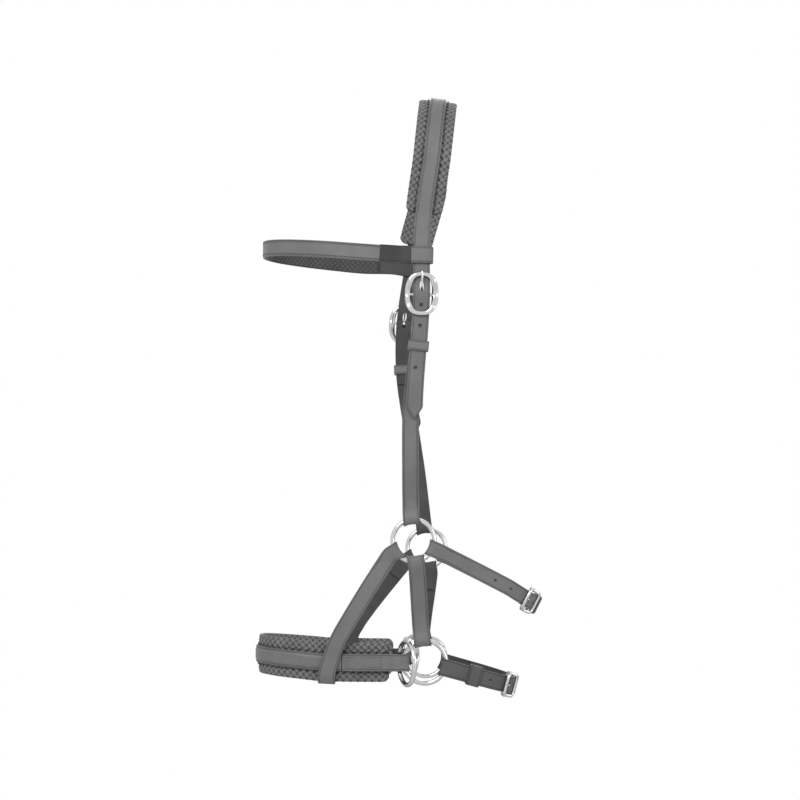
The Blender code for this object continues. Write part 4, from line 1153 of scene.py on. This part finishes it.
def tongue(name, place, long, body, node):
    """An eye round the bar, then a prong that narrows towards the rim."""
    radius = BAR_R + 0.3 + TONGUE_THICK / 2
    path = [(radius * math.cos(a), radius * math.sin(a))
            for a in [math.radians(-8 - 262 * k / 9) for k in range(10)]]
    rest, rise = RIM_UP + RIM_THICK / 2 * 1.08 + SLOT + TONGUE_THICK / 2, long * 0.24
    path += [(long * 0.13, radius + 0.3), (long * 0.13 + rise * 0.5, radius + 1.3),
             (long * 0.13 + rise, (radius + rest) / 2 + 0.9), (long * 0.62, rest - 0.9),
             (long * 0.85, rest), (long + 2.4, rest + 0.05)]
    rows, sides, verts = flow(path, 20.0, 1.2), 14, []
    for i, (s, n, _, _) in enumerate(rows):
        ds, dn = heading(rows, i)
        left = min(i, len(rows) - 1 - i)
        slim = (0.62, 0.88, 1.0)[min(2, left)] * (1.0 - 0.22 * ease(i / len(rows)))
        for k in range(sides):
            c = 2 * math.pi * k / sides
            m = TONGUE_THICK / 2 * slim * math.sin(c)
            verts.append(place.point(s - dn * m, n + ds * m, TONGUE_WIDE / 2 * slim * math.cos(c)))
    piece = make_piece(name, verts, tube_faces(len(rows), sides), steel)
    return hand_over(piece, body, node, node)


for side in SIDES:
    place = Block(head, bar_s[side], WAY[side])
    name = side + "_cheek_"
    buckle(name + "frame", place, OVAL_LONG, OVAL_WIDE, square=2.6, side_rim=3.3, end_rim=2.15,
           body="headstall", node=name + "buckle")
    tongue(name + "prong", place, OVAL_LONG, name + "tongue_body", name + "tongue")
for prefix, (lane, bar, half, tail, down) in under.items():
    place = Block(lane, bar, -1)
    buckle(prefix + "_frame", place, SQUARE_LONG, SQUARE_WIDE, square=4.5, side_rim=1.7,
           end_rim=1.7, body=prefix + "_loop", node=prefix + "_buckle")
    tongue(prefix + "_prong", place, SQUARE_LONG, prefix + "_tongue_body", prefix + "_tongue")
print("buckles and tongues done")

# %% [markdown]
# ## Plaited pads
# The poll and the nose are padded: a soft core is covered by a flat plait of
# leather strands that cross at 45 degrees, go over and under each other, and
# turn round the edges of the pad. The core is a crowned closed form, made
# directly because it is only a few millimetres thick. To model every strand by
# hand would take about two thousand pieces. So a Geometry Nodes tree lays one
# arched strand on every crossing of a flat sheet, and the sheet is then bent
# round the pad, as the saddler does it.

# %% Section and core of a pad
PLAIT_RISE, PAD_INSET, PAD_SWELL, PAD_CORNER = 0.8, 0.6, 5.0, 6.0
STRANDS_ROUND, STRAND_THICK, STRAP_COVERS = 22, 1.3, 6.5


def pad_rim(half, high, samples=720):
    """The round of a pad: a lookup of (b, n, outward b, outward n), and its length."""
    fine = [(half * power(math.sin(a), 2 / 7), high * math.cos(a))
            for a in [2 * math.pi * k / 1440 for k in range(1441)]]
    run, table, i = [0.0], [], 0
    for one, two in zip(fine, fine[1:]):
        run.append(run[-1] + math.dist(one, two))
    for k in range(samples):
        goal = run[-1] * k / samples
        while run[i + 1] < goal:
            i += 1
        t = (goal - run[i]) / max(1e-9, run[i + 1] - run[i])
        one, two = fine[(i - 3) % 1440], fine[(i + 4) % 1440]
        size = math.dist(one, two)
        table.append((fine[i][0] + (fine[i + 1][0] - fine[i][0]) * t,
                      fine[i][1] + (fine[i + 1][1] - fine[i][1]) * t,
                      -(two[1] - one[1]) / size, (two[0] - one[0]) / size))

    def at(q):
        t = q / run[-1] % 1.0 * samples
        i = int(t) % samples
        return [a + (b - a) * (t - int(t)) for a, b in zip(table[i], table[(i + 1) % samples])]
    return at, run[-1]


def pad_place(lane, low, high, mid, half, width):
    """From the flat sheet (s along, q round, h up) to the surface of a pad."""
    rim, round_about = pad_rim(half - PLAIT_RISE, PAD_THICK / 2 - PLAIT_RISE)

    def place(s, q, h):
        inside = min(max(s, low + PAD_INSET), high - PAD_INSET)
        h -= 0.8 * abs(s - inside)
        d = min(inside - low, high - inside) / PAD_SWELL
        swell = math.sqrt(max(0.06, 1 - max(0.0, 1 - d) ** 2))
        b, n, ob, on = rim(q)
        return lane.point(inside, mid + n * swell + on * h,
                          (b + ob * h) * width(inside) * (0.9 + 0.1 * swell))
    return place, rim, round_about


def pad_core(name, place, round_about, low, high, count=44):
    """Crowned core that swells from its ends."""
    ends = [PAD_INSET, 0.9, 1.5, 2.4, 3.6]
    level = high - low - 2 * PAD_SWELL
    parts = math.ceil(level / 4)
    stops = [low + d for d in ends]
    stops += [low + PAD_SWELL + level * k / parts for k in range(parts + 1)]
    stops += [high - d for d in ends[::-1]]
    verts = [place(s, round_about * k / count, 0.0) for s in stops for k in range(count)]
    maps = []
    for one, two in zip(stops, stops[1:]):
        maps += [[(0.05, one / 100)] * 2 + [(0.05, two / 100)] * 2] * count
    maps += [[(0.05, 0.0)] * count] * 2
    return make_piece(name, verts, tube_faces(len(stops), count), pad_leather, maps, sharp=60)


# %% The strand tree
STRAND_DIP, STRAND_CROWN, STRAND_REACH = -3.3, -1.6, 1.5
plait_tree, given, output = new_tree("Lay plaited strands", {
    "Strand length": ("Float", 0.0083), "Strand width": ("Float", 0.0053),
    "Strand height": ("Float", 0.0013), "Strand angle": ("Float", 45.0), "Seed": ("Int", 7),
    "Leather": ("Material", None)})
block = put(plait_tree, "GeometryNodeMeshCube", {"Size": (1.0, 1.0, 1.0), "Vertices X": 7,
                                                 "Vertices Y": 4, "Vertices Z": 2})
spot = put(plait_tree, "ShaderNodeSeparateXYZ",
           {0: put(plait_tree, "GeometryNodeInputPosition").outputs[0]})
dip = times(plait_tree, times(plait_tree, spot.outputs[0], spot.outputs[0]), STRAND_DIP)
crown_up = times(plait_tree, times(plait_tree, spot.outputs[1], spot.outputs[1]),
                 STRAND_CROWN)
lift = put(plait_tree, "ShaderNodeCombineXYZ", {2: math_node(plait_tree, "ADD", dip, crown_up)})
strand = put(plait_tree, "GeometryNodeSetPosition", {"Geometry": block.outputs["Mesh"],
                                                     "Offset": lift.outputs[0]})
chance = put(plait_tree, "FunctionNodeRandomValue", {"Seed": given.outputs["Seed"]},
             data_type="FLOAT")
chance.inputs[2].default_value, chance.inputs[3].default_value = 0.97, 1.03
angle = put(plait_tree, "ShaderNodeMath", {0: given.outputs["Strand angle"]}, operation="RADIANS")
angle = times(plait_tree, angle.outputs[0], chance.outputs[1])
turned = put(plait_tree, "ShaderNodeVectorMath", {0: stored(plait_tree, "turn"), "Scale": angle},
             operation="SCALE")
size = put(plait_tree, "ShaderNodeCombineXYZ", {
    0: given.outputs["Strand length"],
    1: times(plait_tree, given.outputs["Strand width"], chance.outputs[1]),
    2: given.outputs["Strand height"]})
laid = put(plait_tree, "GeometryNodeInstanceOnPoints", {
    "Points": given.outputs["Geometry"], "Instance": strand.outputs[0],
    "Rotation": put(plait_tree, "FunctionNodeEulerToRotation", {0: turned.outputs[0]}).outputs[0],
    "Scale": size.outputs[0]})
close_tree(plait_tree, laid.outputs[0], given.outputs["Leather"], output)


# %% Lay the plait and bend it round
def plait(name, spots, turns, pitch, thick, fullness, seed, finish, place):
    """Grow the strands on a flat sheet, then bend the sheet with place."""
    sheet = marked(name + "_strands", [Vector(spot) for spot in spots], turn=turns)
    wide = pitch * math.sqrt(2.0)
    grow(sheet, plait_tree, strand_length=wide * STRAND_REACH * MM,
         strand_width=wide * fullness * MM, strand_height=thick * MM, strand_angle=45.0,
         seed=seed, leather=finish)
    # The height also lets the plait material darken the low parts as painted shade.
    heights = sheet.data.attributes.new("height", "FLOAT", "POINT")
    for v in sheet.data.vertices:
        s, q, h = (c / MM for c in v.co)
        heights.data[v.index].value = h / thick
        v.co = place(s, q, h) * MM
    sheet.data.update()
    print(name, len(spots), "crossings,", len(sheet.data.polygons), "faces")
    return sheet


def plaited_pad(name, lane, low, high, mid, half, width, body, node, seed, fullness):
    """Core and plait; the strands that the strap hides are left out."""
    place, rim, round_about = pad_place(lane, low, high, mid, half, width)
    core = pad_core(name, place, round_about, low, high)
    pitch = round_about / STRANDS_ROUND
    rows = math.floor((high - low - 3.0) / pitch)
    first_row = (low + high - rows * pitch) / 2
    spots, turns = [], []
    for i in range(rows + 1):
        for j in range(i % 2, STRANDS_ROUND, 2):
            b, n, _, _ = rim(j * pitch)
            if n < 0 or abs(b) > STRAP_COVERS:
                spots.append((first_row + i * pitch, j * pitch, 0.1))
                turns.append((0.0, 0.0, 1.0 if i % 2 else -1.0))
    strands = plait(name, spots, turns, pitch, STRAND_THICK, fullness, seed, plait_leather,
                    place)
    hand_over(joined(core, strands), body, node, node)


def corner(s, low, high, depth):
    """Share of the width near the ends of a pad, whose corners are rounded off."""
    d = min(s - low, high - s)
    return 1.0 - depth * (1 - min(1.0, max(0.0, d) / PAD_CORNER)) ** 2


def crown_width(s):
    t = (s - pad_s["near"]) / (pad_s["far"] - pad_s["near"])
    wider = 1 + POLL_EXTRA / CROWN_PAD_HALF * math.sin(math.pi * t)
    return wider * corner(s, pad_s["near"], pad_s["far"], 0.3)


def nose_width(s):
    return corner(s, pad_low, pad_high, 0.25)


plaited_pad("poll_pad", head, pad_s["near"], pad_s["far"], PAD_MID, CROWN_PAD_HALF, crown_width,
            "headstall", "crown_pad", seed=7, fullness=0.97)
plaited_pad("nose_pad", nose, pad_low, pad_high, NOSE_PAD, NOSE_PAD_HALF, nose_width,
            "nosepart", "noseband_pad", seed=11, fullness=0.93)

# %% [markdown]
# ## Browband lining
# The inside of the browband is lined with a flat plait of finer strands, which
# is what shows on the far half. It uses the same tree with a smaller pitch, and
# the sheet is bent along the inside of the browband.

# %% Browband lining
LINING_PITCH, LINING_REACH, LINING_START = 2.9, 7.7, 38.0
lining_path = [(14.0, lining_n), (brow_low + 10.0, lining_n), (brow_high - 10.0, lining_n),
               (brow.length - 14.0, lining_n)]
lining = lay_strap("lining", brow, lining_path, pad_leather, thick=LINING_THICK - 0.5, crease=0,
                   station=10.0)


def inside_place(s, q, h):
    """The sheet lies on the inner face, and its edges turn in."""
    within = min(max(q, -LINING_REACH), LINING_REACH)
    return brow.point(s, lining_n - LINING_THICK / 2 + 0.35 - h + 0.7 * abs(q - within), -within)


spots, turns = [], []
for i in range(math.floor((brow.length - 2 * LINING_START) / LINING_PITCH) + 1):
    for j in range(-2 - i % 2, 4, 2):
        spots.append((LINING_START + i * LINING_PITCH, j * LINING_PITCH, 0.0))
        turns.append((0.0, 0.0, 1.0 if i % 2 else -1.0))
strands = plait("lining", spots, turns, LINING_PITCH, thick=0.6, fullness=0.95, seed=3,
                finish=lining_plait, place=inside_place)
hand_over(joined(lining, strands), "headstall", "browband_lining", "browband_lining")

# %% [markdown]
# ## Stitching
# Straps are sewn by hand at about eight stitches to the inch, beside the crease
# line. Each row is a line of points with the direction that faces outwards. A
# tree resamples the line at the stitch pitch and sets one short bead of thread
# on every stop, turned a little, as saddle stitches lie. The lacing that holds
# the plait beside the straps is sewn with larger beads by the same tree. Each
# body has its own mesh of thread, because thread moves with the leather.

# %% The stitch tree
stitch_tree, given, output = new_tree("Sew a row", {
    "Stitch pitch": ("Float", 0.0032), "Stitch length": ("Float", 0.0024),
    "Thread": ("Float", 0.0006), "Slant": ("Float", 12.0), "Finish": ("Material", None)})
line = put(stitch_tree, "GeometryNodeMeshToCurve", {"Mesh": given.outputs["Geometry"]})
stops = put(stitch_tree, "GeometryNodeResampleCurve", {
    "Curve": line.outputs[0], "Length": given.outputs["Stitch pitch"]}, mode="LENGTH")
bead = put(stitch_tree, "GeometryNodeMeshUVSphere", {"Segments": 8, "Rings": 5, "Radius": 0.5})
slant = put(stitch_tree, "ShaderNodeMath", {0: given.outputs["Slant"]}, operation="RADIANS")
slant = put(stitch_tree, "ShaderNodeCombineXYZ", {2: slant.outputs[0]})
rotation = put(stitch_tree, "FunctionNodeRotateRotation", {
    "Rotation": aimed(stitch_tree, stored(stitch_tree, "out"),
                      put(stitch_tree, "GeometryNodeInputTangent").outputs[0]),
    "Rotate By": put(stitch_tree, "FunctionNodeEulerToRotation", {0: slant.outputs[0]}).outputs[0]},
    rotation_space="LOCAL")
size = put(stitch_tree, "ShaderNodeCombineXYZ", {0: given.outputs["Stitch length"],
                                                 1: given.outputs["Thread"],
                                                 2: given.outputs["Thread"]})
sewn = put(stitch_tree, "GeometryNodeInstanceOnPoints", {
    "Points": stops.outputs[0], "Instance": bead.outputs["Mesh"],
    "Rotation": rotation.outputs[0], "Scale": size.outputs[0]})
close_tree(stitch_tree, sewn.outputs[0], given.outputs["Finish"], output)

# %% Rows of stitches
EDGE_SEAM, BEVEL_SEAM, LACING_AT, PROUD, SEAM_START = 5.8, 7.1, 10.2, 0.05, RING_R + 10
sewing = {}


def row(body, lane, path, step=3.0, kind="thread"):
    """A row along (s, n, b) spots; n is the face of the leather."""
    points, outs, edges_of = sewing.setdefault((body, kind), ([], [], []))
    start, fine = len(points), []
    for one, two in zip(path, path[1:]):
        parts = max(1, math.ceil(math.dist(one, two) / step))
        fine += [tuple(a + (b - a) * k / parts for a, b in zip(one, two)) for k in range(parts)]
    fine.append(path[-1])
    for s, n, b in fine:
        points.append(lane.point(s, n, b))
        outs.append(lane.frame(s)[2])
    edges_of += [(k, k + 1) for k in range(start, len(points) - 1)]


def pair(body, lane, low, high, n, b, **more):
    """Two rows, one beside each edge."""
    for side_way in (-b, b):
        row(body, lane, [(low, n, side_way), (high, n, side_way)], **more)


face_n = LAYER + LEATHER / 2 + PROUD
for side in SIDES:
    span, lane = spans[side], diagonals[side]
    pair("nosepart", span, SEAM_START, span.length - SEAM_START, face_n, BEVEL_SEAM)
    pair("nosepart", lane, SEAM_START, RING_R + RING_TAIL, face_n, EDGE_SEAM)
    low, high = SEAM_START, bar_s["near"] - BILLET_TAIL - 3
    if side == "far":
        low, high = bar_s["far"] + BILLET_TAIL + 3, head.length - SEAM_START
    pair("headstall", head, low, high, face_n, EDGE_SEAM)
    corners = [(44.0, face_n), (65.0, face_n), (72.0, face_n - LAYER),
               (79.0, PROUD - LAYER + LEATHER / 2)]
    box = [(s, n, b) for b in (-5.0, 5.0) for s, n in (corners if b < 0 else corners[::-1])]
    box.append(box[0])
    if side == "far":
        box = [(nose.length - s, n, b) for s, n, b in box]
    row("nosepart", nose, box)
nose_face = NOSE_STRAP + LEATHER / 2 + PROUD
for b, beyond in ((-BEVEL_SEAM, 8.5), (BEVEL_SEAM, 11.5)):
    row("nosepart", nose, [(WRAP_AT["near"] + beyond, nose_face, b),
                           (nose.length - WRAP_AT["far"] - beyond, nose_face, b)])
pair("headstall", head, pad_s["near"] + 3, pad_s["far"] - 3, BILLET + LEATHER / 2 + PROUD,
     EDGE_SEAM)
pair("headstall", brow, brow_low + PATCH_LENGTH + 3, brow.length - 14, face_n, EDGE_SEAM)
for prefix, (lane, bar, half, tail, down) in under.items():
    pair(prefix + "_loop", lane, SEAM_START, RING_R + 33, face_n, half - 2.7)
    pair(prefix + "_loop", lane, bar + tail + 4, lane.length - SEAM_START, face_n, half - 2.7)
for body, lane, low, high, mid in (("nosepart", nose, pad_low, pad_high, NOSE_PAD),
                                   ("headstall", head, pad_s["near"], pad_s["far"], PAD_MID)):
    pair(body, lane, low + 5, high - 5, mid + PAD_THICK / 2 + 0.25, LACING_AT, kind="lacing")
print("rows on", sorted(sewing))

# %% Sew
for (body, kind), (points, outs, edges_of) in sewing.items():
    piece = marked(body + "_" + kind, points, edges_of, out=outs)
    if kind == "thread":
        grow(piece, stitch_tree, stitch_pitch=0.0032, stitch_length=0.0024, thread=0.0006,
             slant=12.0, finish=stitch_thread)
    else:
        grow(piece, stitch_tree, stitch_pitch=0.0078, stitch_length=0.0034, thread=0.0014,
             slant=0.0, finish=lacing_thread)
    hand_over(piece, body, {"headstall": "crown_strap", "nosepart": "noseband_strap",
                            "jaw_loop": "jaw_strap", "chin_loop": "chin_strap"}[body])
    print(piece.name, len(piece.data.polygons), "faces")

# %% [markdown]
# ## Studio
# The photograph is a plain cut-out on white, lit softly from the camera's side.
# The floor lies well below the bridle, so its shadow falls outside the picture,
# and the world is white for the camera and for reflections. The lamps are large
# and even, at a level where a colour renders about as it is written.

# %% Floor
floor_z, floor_reach = -0.95, 1.3
rings, spokes, verts, faces = 12, 72, [Vector((0.0, 0.0, floor_z))], []
for i in range(1, rings + 1):
    for k in range(spokes):
        a = 2 * math.pi * k / spokes
        verts.append(Vector((math.cos(a), math.sin(a), 0)) * floor_reach * i / rings
                     + Vector((0, 0, floor_z)))
faces += [(0, 1 + k, 1 + (k + 1) % spokes) for k in range(spokes)]
for i in range(rings - 1):
    for k in range(spokes):
        a, b = 1 + i * spokes + k, 1 + i * spokes + (k + 1) % spokes
        faces.append((a, a + spokes, b + spokes, b))
mesh = bpy.data.meshes.new("floor")
mesh.from_pydata(verts, [], faces)
floor = placed("floor", mesh)
floor_paint, tree, shader = new_material("floor_paint")
place = put(tree, "ShaderNodeTexCoord").outputs["Object"]
fine = put(tree, "ShaderNodeTexNoise", {"Vector": place, "Scale": 3.0})
tree.links.new(blend_colour(tree, fine.outputs[0], grey(0.80), grey(0.84)),
               shader.inputs["Base Color"])
shader.inputs["Roughness"].default_value = 0.9
radius = put(tree, "ShaderNodeVectorMath", {0: place, 1: (1.0, 1.0, 0.0)}, operation="MULTIPLY")
length = put(tree, "ShaderNodeVectorMath", {0: radius.outputs[0]}, operation="LENGTH").outputs[1]
tree.links.new(ramp(tree, length, floor_reach * 0.55, floor_reach * 0.98, 1.0, 0.0),
               shader.inputs["Alpha"])
mesh.materials.append(floor_paint)
print("floor", len(mesh.polygons), "faces")

# %% World and lamps
world = bpy.data.worlds.new("studio")
bpy.context.scene.world = world
world.use_nodes = True
tree = world.node_tree
tree.nodes.clear()
ray = put(tree, "ShaderNodeLightPath").outputs
seen = math_node(tree, "MAXIMUM", math_node(tree, "MAXIMUM", ray["Is Camera Ray"],
                                            ray["Is Glossy Ray"]), ray["Is Transmission Ray"])
soft = put(tree, "ShaderNodeBackground", {"Color": grey(0.9), "Strength": 0.55})
white = put(tree, "ShaderNodeBackground", {"Color": grey(1.0), "Strength": 1.0})
both = put(tree, "ShaderNodeMixShader", {0: seen, 1: soft.outputs[0], 2: white.outputs[0]})
tree.links.new(both.outputs[0], put(tree, "ShaderNodeOutputWorld").inputs["Surface"])


def lamp(name, place, aim, size, watts):
    """A large soft lamp that looks at a point."""
    data = bpy.data.lights.new(name, "AREA")
    data.shape, data.size, data.energy = "DISK", size, watts
    light = placed(name, data)
    light.location = place
    light.rotation_euler = (Vector(aim) - Vector(place)).to_track_quat("-Z", "Y").to_euler()


middle = (-0.04, 0.0, -0.32)
lamp("key", (-0.9, -1.6, 0.9), middle, 1.2, 26.0)
lamp("fill", (1.3, -1.3, 0.1), middle, 1.2, 8.0)
lamp("back", (0.3, 1.7, 0.9), middle, 1.4, 14.0)
print("lamps", len(bpy.data.lights))
